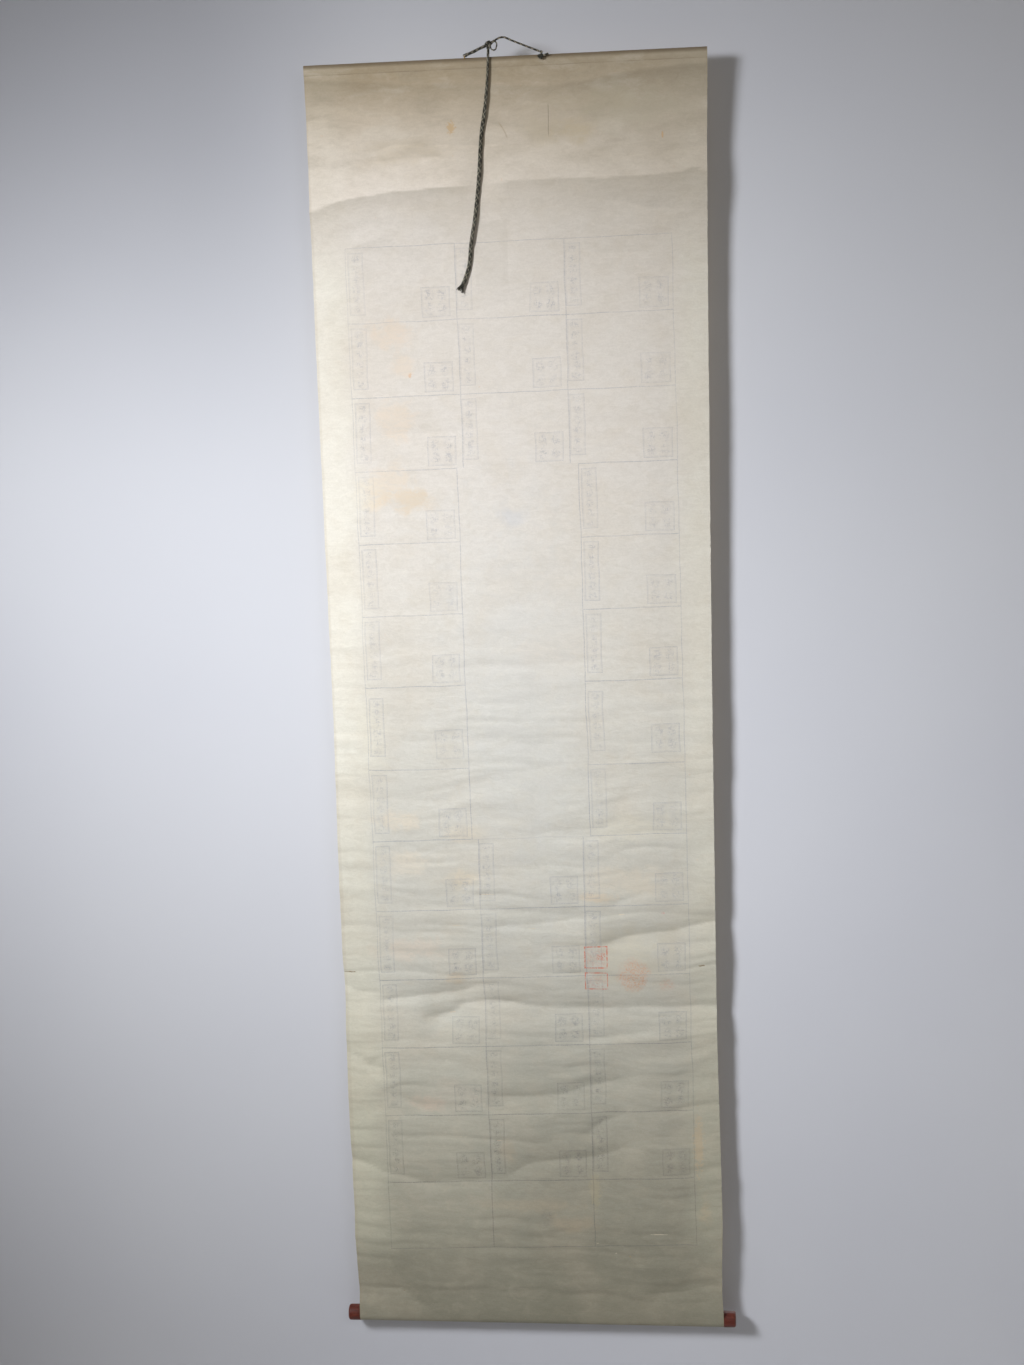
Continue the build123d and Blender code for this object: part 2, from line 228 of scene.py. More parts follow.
def sheet_offset(x, z):
    """How far the hanging sheet stands from its plane, towards the wall."""
    rng = np.random.default_rng(7)
    fade = smooth(FLAP_END_Z - z, 0, 9) * smooth(z - ROLLER_Z, 4, 44)
    under = 3.0 * np.logaddexp(0, (along(x, SHOULDER) + 1.5 * lattice(x, z, 50, 400, rng) - z) / 3.0)
    wave = SET_BACK * (1 - np.exp(-under / SET_BACK_REACH))
    wave += SWELL * np.sin(2 * np.pi * z / SWELL_LENGTH + 0.9 * x / HALF_WIDTH) * smooth(-z, 80, 400)
    # The long edges curl back a little between the stave and the roller
    wave += CURL * np.abs(x / HALF_WIDTH) ** 5 * smooth(-z, 60, 300) * smooth(z - FOOT_Z, 60, 300)
    waver = bend(x, z, rng)
    for points, depth, above, below, _, _ in CREASES:
        depth = depth * (LOW_CREASE if points[0][1] < LOW_PART else 1)
        gap = z + waver - along(x, points)
        soft = np.sqrt(gap**2 + 0.5) - 0.7
        wave += depth * crease_mask(x, points) * np.exp(-soft / np.where(gap > 0, above, below))
    low = smooth(-z, 620, 1350)
    high = 1 - smooth(-z, 240, 420)
    slant = z + 0.04 * x + 14 * lattice(x, z, 120, 140, rng) + 4 * lattice(x, z, 50, 60, rng)
    # Billows: rounded towards the viewer, with a sharper dip between them
    for cell_x, cell_z, size in ((210, 44, 2.4), (120, 25, 2.1), (66, 13, 1.1), (40, 8.5, 0.5)):
        billow = np.sqrt(lattice(x, slant, cell_x, cell_z, rng)**2 + 0.0012)
        wave -= size * (0.22 + 0.78 * low + 0.35 * high) * (billow - 0.35)
    wave += 0.08 * lattice(x, slant, 24, 8, rng)
    return fade * (0.2 + np.logaddexp(0, 1.6 * (wave - 0.2)) / 1.6)


def sheet_soil_and_painted_shading(x, z):
    """Soiling along the creases, with painted shade and highlight on their sides and painted shade below the shoulder:
    positive is darker, negative is paler.
    """
    rng = np.random.default_rng(7)
    waver = bend(x, z, rng)
    wear_and_painted_shading = np.zeros_like(x)
    patchy = 0.75 + 0.45 * lattice(x, z, 60, 200, np.random.default_rng(3))
    for points, _, above, below, tone_above, tone_below in CREASES:
        gap = z + waver - along(x, points)
        side = smooth(gap, -1.1, 1.1)
        reach = np.where(gap > 0, above, below)
        tone = (tone_above * side + tone_below * (1 - side)) * (LOW_SOIL_AND_SHADING if points[0][1] < LOW_PART else 1)
        wear_and_painted_shading += patchy * tone * crease_mask(x, points) * np.exp(-np.abs(gap) / reach)
    # Painted shade below the shoulder, where the sheet turns back towards the wall, and a little painted highlight just
    # above it
    gap = z - along(x, SHOULDER)
    strength = 0.75 + 0.45 * smooth(x, 60, 200) + 0.25 * smooth(-x, 120, 200)
    side = smooth(gap, -3.5, 3.0)
    shade = 0.15 * (1 - side) * np.exp(np.minimum(gap, 0) / 26) - 0.03 * side * np.exp(-np.maximum(gap, 0) / 16)
    wear_and_painted_shading += strength * shade * smooth(-z, 24, 44)
    return wear_and_painted_shading


def arc(cy, cz, radius, start, turn, count):
    """Points of an arc after its first one, angles in degrees from +Y towards +Z."""
    return [
        (cy + radius * math.cos(math.radians(start + turn * i / count)),
         cz + radius * math.sin(math.radians(start + turn * i / count)))
        for i in range(1, count + 1)
    ]


def rounded_pocket():
    """The outline of the hem's pocket round the stave."""
    back, front, foot, top = STAVE[0] - PASTE, STAVE[1] + PASTE, STAVE[2] - PASTE, STAVE[3] + PASTE
    r1, r2, r3 = STAVE_BACK_RADIUS + PASTE, STAVE_FRONT_RADIUS + PASTE, STAVE_FOOT_RADIUS + PASTE
    points = [(back, top - r1)] + arc(back + r1, top - r1, r1, 180, -90, 6)
    points += [(front - r2, top)] + arc(front - r2, top - r2, r2, 90, -90, 6)
    points += [(front, foot + r2)] + arc(front - r2, foot + r2, r2, 0, -90, 6)
    return points + [(back + r3, foot)] + arc(back + r3, foot + r3, r3, -90, -90, 3)


def still(points):
    """Points of the sheet's outline that don't take part in its relief."""
    return [(y, z, 0) for y, z in points]


def build_sheet():
    columns = 81
    xs = np.linspace(-HALF_WIDTH, HALF_WIDTH, columns)
    back_z = np.linspace(FLAP_END_Z - 1.2, ROLLER_Z + 4.6, 701)
    hem_back, hem_front = SHEET_Y - CAD_THICKNESS, STAVE[1] + PASTE + CAD_THICKNESS
    r1, r2 = STAVE_BACK_RADIUS + 1.1, STAVE_FRONT_RADIUS + 1.1
    foot = STAVE[2] - 1.1
    turn = math.degrees(math.acos((WRAP_RADIUS - PAPER) / WRAP_RADIUS))
    # Each entry is (y, z, share of the sheet's offset)
    loop = []
    for t in (0, 0.2, 0.4, 0.6, 0.8, 1):
        z = FLAP_END_Z + t * (EDGE_Z - r1 - FLAP_END_Z)
        loop.append((SHEET_Y - FLAP_EDGE - (CAD_THICKNESS - FLAP_EDGE) * smooth(t, 0, 0.8), z, 0))
    loop += still(arc(hem_back + r1, EDGE_Z - r1, r1, 180, -90, 10) + [(hem_front - r2, EDGE_Z)])
    first_front_face = len(loop) + 4
    loop += still(arc(hem_front - r2, EDGE_Z - r2, r2, 90, -90, 10) + [(hem_front, foot + r2)])
    loop += still(arc(hem_front - r2, foot + r2, r2, 0, -90, 8))
    loop += still([(SHEET_Y + PAPER + 1.2, foot), (SHEET_Y + PAPER + 0.3, foot - 0.4)])
    loop += [(SHEET_Y + PAPER, z, 1) for z in back_z[::2]]
    first_back_face = len(loop)
    loop += still(arc(ROLLER_Y, ROLLER_Z, WRAP_RADIUS, 180 - turn, turn - 360, 60))
    loop += [(SHEET_Y, z, 1) for z in back_z[::-1]] + [(SHEET_Y, FLAP_END_Z, 0)]
    loop = np.array(loop, float)
    count = len(loop)
    rng = np.random.default_rng(11)
    x, z = np.meshgrid(xs, loop[:, 1], indexing="ij")
    y = loop[None, :, 0] + loop[None, :, 2] * sheet_offset(x, z)
    # The paper's long edges are a little uneven, and the right one draws in at mid height
    mid = loop[None, :, 2] * smooth(-z, 44, 70) * smooth(z - FOOT_Z, 20, 60)
    left = np.interp(z, *zip(*LEFT_EDGE)) + HALF_WIDTH
    right = np.interp(z, *zip(*RIGHT_EDGE)) - HALF_WIDTH
    wobble = 0.25 * lattice(np.sign(x) * 200 + 0 * x, z, 90, 17, rng)
    shift = smooth(-x, 60, HALF_WIDTH) * left + smooth(x, 60, HALF_WIDTH) * right
    x = x + mid * (shift + np.abs(x / HALF_WIDTH)**6 * wobble)
    vertices = np.stack([x, y, z], -1).reshape(-1, 3) * MM
    j, k = np.meshgrid(np.arange(columns - 1), np.arange(count), indexing="ij")
    k2 = (k + 1) % count
    quads = np.stack([j * count + k, j * count + k2, (j + 1) * count + k2, (j + 1) * count + k], -1).reshape(-1, 4)
    vertices, faces = vertices.tolist(), quads.tolist()
    # Pocket round the stave and bore round the roller, then the cut ends of the paper
    holes = [rounded_pocket(), arc(ROLLER_Y, ROLLER_Z, ROLLER_BORE, 0, 360, 48)]
    hole_starts = []
    for hole in holes:
        start = len(vertices)
        hole_starts.append(start)
        n = len(hole)
        for side in (-HALF_WIDTH, HALF_WIDTH):
            vertices += [(side * MM, py * MM, pz * MM) for py, pz in hole]
        for i in range(n):
            i2 = (i + 1) % n
            faces.append((start + i, start + n + i, start + n + i2, start + i2))
    for side, column in ((0, 0), (1, columns - 1)):
        index = [column * count + i for i in range(count)]
        outlines = [[Vector((*vertices[i][1:], 0)) for i in index]]
        for hole, start in zip(holes, hole_starts):
            n = len(hole)
            outlines.append([Vector((py * MM, pz * MM, 0)) for py, pz in hole])
            index += [start + side * n + i for i in range(n)]
        for a, b, c in geometry.tessellate_polygon(outlines):
            pa, pb, pc = (np.array(vertices[index[i]]) for i in (a, b, c))
            outward = np.cross(pb - pa, pc - pa)[0] * (1 if side else -1) > 0
            faces.append((index[a], index[b], index[c]) if outward else (index[a], index[c], index[b]))
    obj = mesh_object("mounted_sheet", vertices, faces, 0.9)
    for face in obj.data.polygons[:(columns - 1) * count]:
        if first_front_face <= face.index % count < first_back_face + 3:
            face.material_index = 1
    # Soiling and painted crease and shoulder shade and highlight, stored for the paper's colour
    wear_and_painted_shading = obj.data.attributes.new("wear_and_painted_shading", "FLOAT", "POINT")
    place = np.array([v.co for v in obj.data.vertices]) / MM
    wear_and_painted_shading.data.foreach_set("value", sheet_soil_and_painted_shading(place[:, 0], place[:, 2]))
    return obj


sheet = build_sheet()
# The first face, on the hem, looks towards the viewer
if sheet.data.polygons[0].normal.y > 0:
    sheet.data.flip_normals()
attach(sheet, "root")
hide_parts("scroll_sheet")


# ---------------------------------------------------------------- nodes
class Wire:
    """A node's output that takes part in arithmetic: each sum or product is a node of its own."""

    def __init__(self, net, socket):
        self.net, self.socket = net, socket

    def __add__(self, other):
        return self.net.math("ADD", self, other)

    def __sub__(self, other):
        return self.net.math("SUBTRACT", self, other)

    def __rsub__(self, other):
        return self.net.math("SUBTRACT", other, self)

    def __mul__(self, other):
        return self.net.math("MULTIPLY", self, other)

    def __truediv__(self, other):
        return self.net.math("DIVIDE", self, other)

    def __abs__(self):
        return self.net.math("ABSOLUTE", self)


class Net:
    """Builds the nodes of a material or a world; values may be numbers, colours, sockets or wires."""

    def __init__(self, owner):
        owner.use_nodes = True
        self.owner, self.tree = owner, owner.node_tree
        self.tree.nodes.clear()

    def put(self, socket, value):
        if isinstance(value, Wire):
            value = value.socket
        if isinstance(value, bpy.types.NodeSocket):
            self.tree.links.new(value, socket)
        else:
            socket.default_value = value

    def add(self, kind, inputs=(), **settings):
        """A node with these settings and, by name or number, inputs."""
        node = self.tree.nodes.new(kind)
        for key, value in settings.items():
            setattr(node, key, value)
        for key, value in dict(inputs).items():
            self.put(node.inputs[key], value)
        return node

    def math(self, operation, *values, clamp=False):
        node = self.add("ShaderNodeMath", enumerate(values), operation=operation, use_clamp=clamp)
        return Wire(self, node.outputs[0])

    def highest(self, values):
        return functools.reduce(lambda a, b: self.math("MAXIMUM", a, b), values)

    def step(self, value, low, high, to_low=0, to_high=1):
        """A smooth change from to_low to to_high while the value goes from low to high."""
        inputs = {"Value": value, "From Min": low, "From Max": high, "To Min": to_low, "To Max": to_high}
        return Wire(self, self.add("ShaderNodeMapRange", inputs, interpolation_type="SMOOTHSTEP").outputs["Result"])

    def fall(self, value, low, high):
        return self.step(value, low, high, 1, 0)

    def mix(self, factor, a, b, blend="MIX"):
        a, b = ((*colour, 1) if isinstance(colour, tuple) else colour for colour in (a, b))
        node = self.add("ShaderNodeMix", {0: factor, 6: a, 7: b}, data_type="RGBA", blend_type=blend, clamp_factor=True)
        return Wire(self, node.outputs[2])

    def layers(self, colour, *layers):
        """Tones laid over a colour one after the other, each where its mask is."""
        for mask, tone in layers:
            colour = self.mix(mask, colour, tone)
        return colour

    def noise(self, vector, scale, detail=2, rough=0.5, distortion=0):
        inputs = {"Vector": vector, "Scale": scale, "Detail": detail, "Roughness": rough, "Distortion": distortion}
        return Wire(self, self.add("ShaderNodeTexNoise", inputs).outputs["Fac"])

    def scaled(self, vector, scale, location=(0, 0, 0), rotation=(0, 0, 0)):
        inputs = {"Vector": vector, "Scale": scale, "Location": location, "Rotation": rotation}
        return Wire(self, self.add("ShaderNodeMapping", inputs).outputs["Vector"])

    def place(self):
        """Object coordinates in millimetres."""
        return self.scaled(self.add("ShaderNodeTexCoord").outputs["Object"], (1000, 1000, 1000))

    def x_and_z(self, place):
        split = self.add("ShaderNodeSeparateXYZ", {0: place})
        return Wire(self, split.outputs[0]), Wire(self, split.outputs[2])

    def blot(self, x, z, cx, cz, rx, rz, warp, soft):
        """A soft-edged patch: 1 inside, 0 outside."""
        dx = (x - cx) * (1 / rx)
        dz = (z - cz) * (1 / rz)
        return self.fall(self.math("SQRT", dx * dx + dz * dz) + warp, 1 - soft, 1 + soft)

    def past(self, x, z, cx, cz, hx, hz):
        """How far a place is outside a rectangle, negative where it is inside."""
        return self.math("MAXIMUM", abs(x - cx) - hx, abs(z - cz) - hz)

    def frame_line(self, x, z, cx, cz, hx, hz, half):
        """A thin rectangle's outline."""
        return self.fall(abs(self.past(x, z, cx, cz, hx, hz)), half, half + 0.5)

    def inside(self, x, z, cx, cz, hx, hz, soft=1):
        return self.fall(self.past(x, z, cx, cz, hx, hz), -soft, soft)

    def seen_ray(self):
        """1 on the camera's own rays and on those that it sees by a reflection or through glass, else 0."""
        ray = self.add("ShaderNodeLightPath").outputs
        return self.highest([ray["Is Camera Ray"], ray["Is Glossy Ray"], ray["Is Transmission Ray"]])

    def blend(self, factor, a, b):
        return self.add("ShaderNodeMixShader", enumerate((factor, a, b))).outputs[0]

    def surface(self, colour, roughness, bump, strength, distance, **constants):
        """A principled surface with a bump."""
        inputs = {name.replace("_", " "): value for name, value in constants.items()}
        shader = self.add("ShaderNodeBsdfPrincipled", {"Base Color": colour, "Roughness": roughness, **inputs})
        node = self.add("ShaderNodeBump", {"Strength": strength, "Distance": distance, "Height": bump})
        self.put(shader.inputs["Normal"], node.outputs["Normal"])
        return shader.outputs["BSDF"]

    def finish(self, surface, kind="ShaderNodeOutputMaterial"):
        self.add(kind, {"Surface": surface})
        return self.owner


# ---------------------------------------------------------------- aged paper
# Colour down the sheet: height in millimetres and linear RGB
PAPER_STOPS = [
    (-1966, (0.25, 0.238, 0.18)), (-1860, (0.31, 0.296, 0.23)), (-1700, (0.375, 0.362, 0.295)),
    (-1560, (0.43, 0.418, 0.352)), (-1400, (0.545, 0.53, 0.468)), (-1050, (0.64, 0.62, 0.56)),
    (-600, (0.745, 0.7, 0.645)), (-260, (0.76, 0.705, 0.64)), (-150, (0.745, 0.665, 0.565)),
    (-90, (0.6, 0.508, 0.39)), (-48, (0.435, 0.348, 0.233)), (-24, (0.41, 0.33, 0.218)),
]
# Stains: centre, half width and half height, colour, strength
STAINS = [
    (-79, -119, 5.4, 7.8, (0.6, 0.4, 0.19), 0.62),
    (225, -142, 1.5, 4.4, (0.62, 0.38, 0.18), 0.6),
    (102, -130, 26, 16, (0.52, 0.42, 0.26), 0.45),
    (189, -105, 60, 30, (0.5, 0.46, 0.35), 0.35),
    (52, -128, 30, 18, (0.52, 0.44, 0.3), 0.3),
    (-160, -152, 60, 16, (0.58, 0.48, 0.33), 0.25),
    (120, -92, 70, 12, (0.52, 0.45, 0.32), 0.3),
    (-176, -410, 26, 17, (0.76, 0.62, 0.48), 0.5),
    (-162, -455, 15, 18, (0.77, 0.64, 0.5), 0.45),
    (-152, -470, 2, 4, (0.74, 0.46, 0.25), 0.6),
    (-178, -534, 28, 26, (0.76, 0.63, 0.49), 0.5),
    (-165, -652, 34, 17, (0.69, 0.57, 0.42), 0.7),
    (-188, -632, 28, 28, (0.75, 0.63, 0.49), 0.5),
    (-208, -660, 16, 10, (0.78, 0.64, 0.46), 0.3),
    (-225, -640, 20, 20, (0.8, 0.72, 0.56), 0.3),
    (109, -1265, 30, 7, (0.7, 0.53, 0.33), 0.4),
    (147, -1237, 50, 22, (0.66, 0.56, 0.42), 0.3),
    (-97, -1236, 22, 14, (0.74, 0.6, 0.4), 0.35),
    (-182, -1211, 36, 16, (0.74, 0.64, 0.5), 0.35),
    (-182, -1348, 44, 18, (0.68, 0.54, 0.42), 0.35),
    (-117, -1396, 14, 9, (0.64, 0.46, 0.26), 0.3),
    (-168, -1600, 24, 11, (0.64, 0.47, 0.36), 0.34),
    (-123, -1586, 40, 28, (0.6, 0.52, 0.43), 0.25),
    (147, -1357, 70, 44, (0.5, 0.45, 0.33), 0.38),
    (255, -1660, 7, 44, (0.6, 0.45, 0.27), 0.4),
    (262, -1770, 9, 26, (0.56, 0.44, 0.28), 0.35),
    (-13, -1765, 60, 9, (0.48, 0.38, 0.26), 0.25),
    (57, -1795, 34, 12, (0.48, 0.37, 0.25), 0.3),
    (92, -1740, 8, 26, (0.5, 0.42, 0.26), 0.3),
    (-43, -1676, 10, 20, (0.52, 0.41, 0.28), 0.25),
    (157, -1157, 60, 20, (0.63, 0.58, 0.45), 0.32),
    (-202, -1141, 32, 14, (0.78, 0.63, 0.44), 0.3),
    (-97, -1162, 28, 12, (0.72, 0.6, 0.42), 0.3),
    (60, -880, 70, 26, (0.7, 0.62, 0.52), 0.25),
    (-230, -1020, 20, 60, (0.76, 0.72, 0.58), 0.25),
]


# Red fields in the same form
RED_SPOTS = [
    (159, -1388, 23, 22, (0.62, 0.25, 0.13), 0.42), (167, -1397, 14, 10, (0.48, 0.23, 0.1), 0.2),
    (211, -1404, 11, 10, (0.66, 0.26, 0.14), 0.22), (206, -1290, 2.2, 2.2, (0.72, 0.12, 0.08), 0.6),
]
# Printed grid: the cells' width, the height of a row in the upper six, the tall one and the lower seven,
# and where the upper six and the tall one end, from the grid's top
CELL_WIDTH, UPPER_ROW, TALL_ROW, LOWER_ROW = 160, 108.77, 128.4, 110.95
UPPER_END, TALL_END = 652.6, 781


def printed_fields(net, place, x, z):
    """A grid of cells whose rows and columns spread a little, as the paper has stretched.

    In each cell stand a narrow frame at the left and a square box at the lower right, with places for
    short smudges in them. Returns lines, frames, smudges and the row number.
    """
    math, step, fall, noise = net.math, net.step, net.fall, net.noise
    t = (-283 - z) * (1 / 1437)
    sway = (noise(place, 0.018, 2) - 0.5) * 0.03
    u = (x - (t * 6.26 + -241.8)) / (t * 6.2 + 477.9) * 3 + sway
    depth = (u * 1.5 + -283.7 - z) / (1 - u * 0.0022)
    upper = math("MINIMUM", depth, UPPER_END) * (1 / UPPER_ROW)
    tall = math("MULTIPLY", depth - UPPER_END, 1 / TALL_ROW, clamp=True)
    lower = math("MAXIMUM", depth - TALL_END, 0) * (1 / LOWER_ROW)
    v = upper + (tall + lower) + sway
    centre = step(v, 2.985, 3) * fall(v, 7.995, 8.01)
    middle = centre * (step(u, 0.958, 0.962) * fall(u, 2.088, 2.092))
    outside = 1 - centre
    in_u = step(u, -0.004, -0.002) * fall(u, 3.002, 3.004)
    in_v = step(v, -0.006, -0.003) * fall(v, 14.003, 14.006)
    fv, fu = math("FRACT", v + 0.0001), math("FRACT", u + 0.0001)
    row_gap = math("MINIMUM", fv, 1 - fv) * 110.5
    lines = [fall(row_gap, 0.35, 1) * (1 - middle)]
    for at, mask in ((0, 0.7), (3, 0.8), (1.02, outside), (2.018, outside), (0.96, centre), (2.09, centre)):
        lines.append(fall(abs(u - at) * CELL_WIDTH, 0.3, 1) * mask)
    # In each cell: a and c count from its left and its foot, b and d from its right and its top
    a = (fu - centre * (step(u, 1.99, 2) * 0.09)) * CELL_WIDTH
    b = (1 - centre * step(u, 0.99, 1, 0.04, 0) - fu) * CELL_WIDTH
    in_tall = step(v, 5.999, 6) * fall(v, 7, 7.001)
    row_height = in_tall * 17.5 + 110.5
    c = fv * row_height - in_tall * 8.5
    d = (1 - fv) * row_height - in_tall * 11
    cell = in_u * fall(v, 12.995, 13) * step(v, 0, 0.01) * (1 - middle)
    frames = [
        net.frame_line(px, pz, cx, cz, hx - inset, hz - inset, 0.25) * strength
        for px, pz, cx, cz, hx, hz, rim in ((a, c, 15, 52.5, 11, 45, 1.5), (b, d, 28, 27, 21, 21.5, 1.6))
        for inset, strength in ((0, 1), (rim, 0.45))
    ]
    # Places for the smudges
    rag = noise(place, 0.12, 3, 0.65, 0.6) - 0.5
    blobs = []
    for px, pz, px0, pz0, sx, sz, cx, cz, hx, hz in (
        (a, c, 7.5, 7.5, 15, 15, 15, 52.5, 8, 42), (b, d, 8, 6.5, 20, 20.5, 28, 27, 19, 19.5),
    ):
        qx = (math("FRACT", (px - px0) * (1 / sx)) - 0.5) * sx
        qz = (math("FRACT", (pz - pz0) * (1 / sz)) - 0.5) * sz
        blob = net.blot(qx, qz, 0, 0, min(6.6, sx * 0.4), sz * 0.4, rag * 1.6, 0.5)
        blobs.append(blob * net.inside(px, pz, cx, cz, hx, hz))
    return net.highest(lines) * (in_u * in_v), net.highest(frames) * cell, net.highest(blobs) * cell, v


def paper_material():
    net = Net(bpy.data.materials.new("aged_washi"))
    place = net.place()
    x, z = net.x_and_z(place)
    mix, step, fall, noise, scaled = net.mix, net.step, net.fall, net.noise, net.scaled
    foot, span = PAPER_STOPS[0][0], PAPER_STOPS[-1][0] - PAPER_STOPS[0][0]
    ramp = net.add("ShaderNodeValToRGB", {"Fac": (z - foot) * (1 / span)})
    elements = ramp.color_ramp.elements
    while len(elements) < len(PAPER_STOPS):
        elements.new(0.5)
    for element, (level, tone) in zip(elements, PAPER_STOPS):
        element.position = (level - foot) / span
        element.color = (*tone, 1)

    # The margins outside the mounted picture are creamier, and the upper right is greyer
    inner = abs(x - 3) + noise(place, 0.016, 4) * 44
    margin = step(inner, 236, 292) * step(z, -340, -250, 0.55, 0.16) * step(z, -1880, -1780, 0.2, 1)
    corner = step(x, -200, 290) * step(z, -420, -130)
    # Mottling of old paper at several scales
    cloud = noise(place, 0.007, 3, 0.55, 0.5)
    patch = noise(scaled(place, (1, 1, 1.5)), 0.03, 4, 0.6, 0.6)
    grain = noise(place, 0.4, 3, 0.65)
    fluff = noise(scaled(place, (0.6, 1, 1.6)), 0.09, 4, 0.65, 1.2)
    storm = noise(scaled(place, (0.5, 1, 1.3)), 0.028, 5, 0.6, 0.25)
    high = step(z, -260, -120)
    colour = net.layers(
        ramp.outputs["Color"],
        (margin, mix(step(z, -1700, -900), (0.54, 0.525, 0.41), (0.84, 0.81, 0.7))),
        (corner * 0.43, (0.42, 0.36, 0.27)),
        # Painted shade: the paper darkens towards the right, where the light falls off
        (step(x, -120, 290, 0, 0.14), (0.34, 0.31, 0.24)),
        (step(cloud, 0.4, 0.72, 0, 0.2), (0.58, 0.5, 0.39)),
        (step(patch, 0.42, 0.75, 0, 0.16), (0.6, 0.52, 0.4)),
        (high * step(storm, 0.48, 0.68, 0, 0.34), (0.42, 0.36, 0.27)),
        (high * step(storm, 0.3, 0.5, 0.26, 0), (0.78, 0.72, 0.62)),
    )
    # The foot is paler at the left and darker from the middle to the right
    pale_foot = fall(x, -150, 10) * fall(z, -1440, -1310) * step(z, -1890, -1800)
    dark_foot = step(x, -60, 50) * fall(z, -1720, -1610)
    for mask, tone in (
        (pale_foot, (1.15, 1.15, 1.15)), (dark_foot, (0.93, 0.93, 0.92)),
        (1, mix(step(fluff, 0.3, 0.7), (0.955, 0.95, 0.94), (1.03, 1.03, 1.03))),
        (1, mix(step(grain, 0.3, 0.7), (0.965, 0.965, 0.96), (1.015, 1.015, 1.015))),
    ):
        colour = mix(mask, colour, tone, "MULTIPLY")
    # Long fibres of handmade paper
    fibres = []
    for turn, seed in ((0.35, 3), (-0.6, 11), (1.3, 23)):
        line = noise(scaled(place, (0.05, 0.05, 0.9), (seed, 0, seed), (0, turn, 0)), 1, 2)
        fibres.append(fall(abs(line - 0.5), 0, 0.012))
    colour = mix(net.highest(fibres) * 0.05, colour, (0.95, 0.93, 0.88))

    # Stains with ragged outlines, the small ones crisper
    rag = noise(place, 0.035, 5, 0.65, 0.4) - 0.5
    warp = rag * 3.2
    ragged = (noise(place, 0.28, 3, 0.6, 0.8) - 0.5) * 3.2
    broken = step(fluff, 0.25, 0.6, 0.25, 1)
    for cx, cz, rx, rz, tone, strength in STAINS:
        if rx > 8:
            mark = net.blot(x, z, cx, cz, rx, rz, warp, 0.5) * broken
        else:
            mark = net.blot(x, z, cx, cz, rx, rz, ragged, 0.3)
        colour = mix(mark * strength, colour, tone)
    # A square patch of a repair near the top, a haze in the middle panel and a spot
    haze = net.blot(x, z, -2, -957, 90, 260, warp, 0.8) * step(patch, 0.3, 0.65, 0.35, 1)
    colour = net.layers(
        colour, (net.inside(x, z, -26, -299, 24, 46, 1.5) * 0.1, (0.42, 0.38, 0.3)),
        (haze * 0.2, (0.58, 0.62, 0.66)),
        (net.blot(x, z, -6, -684, 20, 13, rag * 2, 0.5) * 0.2, (0.45, 0.5, 0.6)),
    )

    # Faint printed fields, with formless dabs
    lines, frames, blobs, rows = printed_fields(net, place, x, z)
    dabs = net.highest([
        step(noise(scaled(place, size, seed, turned), 1, 2, 0.6), low, low + 0.08)
        for size, seed, turned, low in (
            ((0.16, 1, 0.75), (0, 0, 0), (0, 0, 0), 0.52), ((0.8, 1, 0.2), (31, 0, 17), (0, 0, 0), 0.54),
            ((0.7, 1, 0.2), (7, 0, 3), (0, 0.7, 0), 0.56),
        )
    ]) * step(noise(place, 0.2, 2, 0.6), 0.36, 0.6, 0.2, 1)
    marks = blobs * (dabs * step(rows, 6, 12, 0.85, 1.15))
    # Here the mask is only the ink's own wear, where it has faded
    wear_and_painted_shading = step(noise(place, 0.012, 3, 0.6), 0.3, 0.65, 0.55, 1)
    specks = step(noise(place, 0.55, 2, 0.6), 0.32, 0.6, 0.35, 1)
    ruled = net.highest([lines * 0.56, frames * 0.44]) * step(rows, 0, 9, 0.72, 1.05)
    low_mark = net.blot(x, z, 15, -1788, 8, 12, rag * 1.6, 0.5) * dabs
    ink = net.highest([ruled * specks, marks * 0.46, low_mark * 0.4])
    colour = mix(ink * wear_and_painted_shading, colour, mix(step(rows, 8, 13), (0.24, 0.25, 0.31), (0.12, 0.12, 0.13)))

    # Red fields: two framed squares, a round one and a small one, all broken up
    rub = step(noise(place, 0.36, 3, 0.7, 0.8), 0.46, 0.58)
    red = net.highest([net.frame_line(x, z, 102, -1360, 17, 16.5, 0.7), net.frame_line(x, z, 102, -1398, 17, 13, 0.6)])
    red = red * step(noise(place, 0.16, 4, 0.7, 0.6), 0.38, 0.6, 0.12, 0.8)
    fill = net.highest([net.inside(x, z, 102, -1360, 14, 13.5), net.inside(x, z, 102, -1398, 14, 10)])
    fill = fill * rub * (net.blot(x, z, 111, -1358, 9, 8, rag * 2, 0.6) * 0.5 + 0.18)
    colour = mix(net.highest([red, fill]), colour, (0.6, 0.11, 0.055))
    for cx, cz, rx, rz, tone, strength in RED_SPOTS:
        spread = net.blot(x, z, cx, cz, rx, rz, rag * 1.6, 0.3)
        colour = mix(spread * step(rub, 0, 1, 0.15, 1) * strength, colour, tone)

    # Rust-coloured specks, two scratches, the pasted flap's edge, grime along the edges, and grime with painted shade
    # along the rounded top
    scratch = fall(abs(x - (rag * 3 + 62.3)), 0.25, 0.8) * (step(z, -140, -132) * fall(z, -96, -90))
    deep = z + 137
    bow = deep * deep * -0.011 + (deep * -0.28 + 2)
    curved = fall(abs(x - bow), 0.5, 1.5) * (step(z, -138, -135) * fall(z, -120, -112))
    flap_fade = step(noise(scaled(place, (0.016, 0.01, 0)), 1, 3, 0.6), 0.35, 0.62, 0.06, 0.45)
    sag = z + noise(scaled(place, (0.02, 0, 0)), 1, 2) * 2
    flap = fall(abs(sag - (FLAP_END_Z + 1)), 0.2, 0.9)
    under = step(z, FLAP_END_Z - 0.3, FLAP_END_Z + 0.3) * fall(z, FLAP_END_Z + 0.3, FLAP_END_Z + 7)
    edge = step(abs(x) + noise(place, 0.05, 3) * 3, 288.2, 291.5)
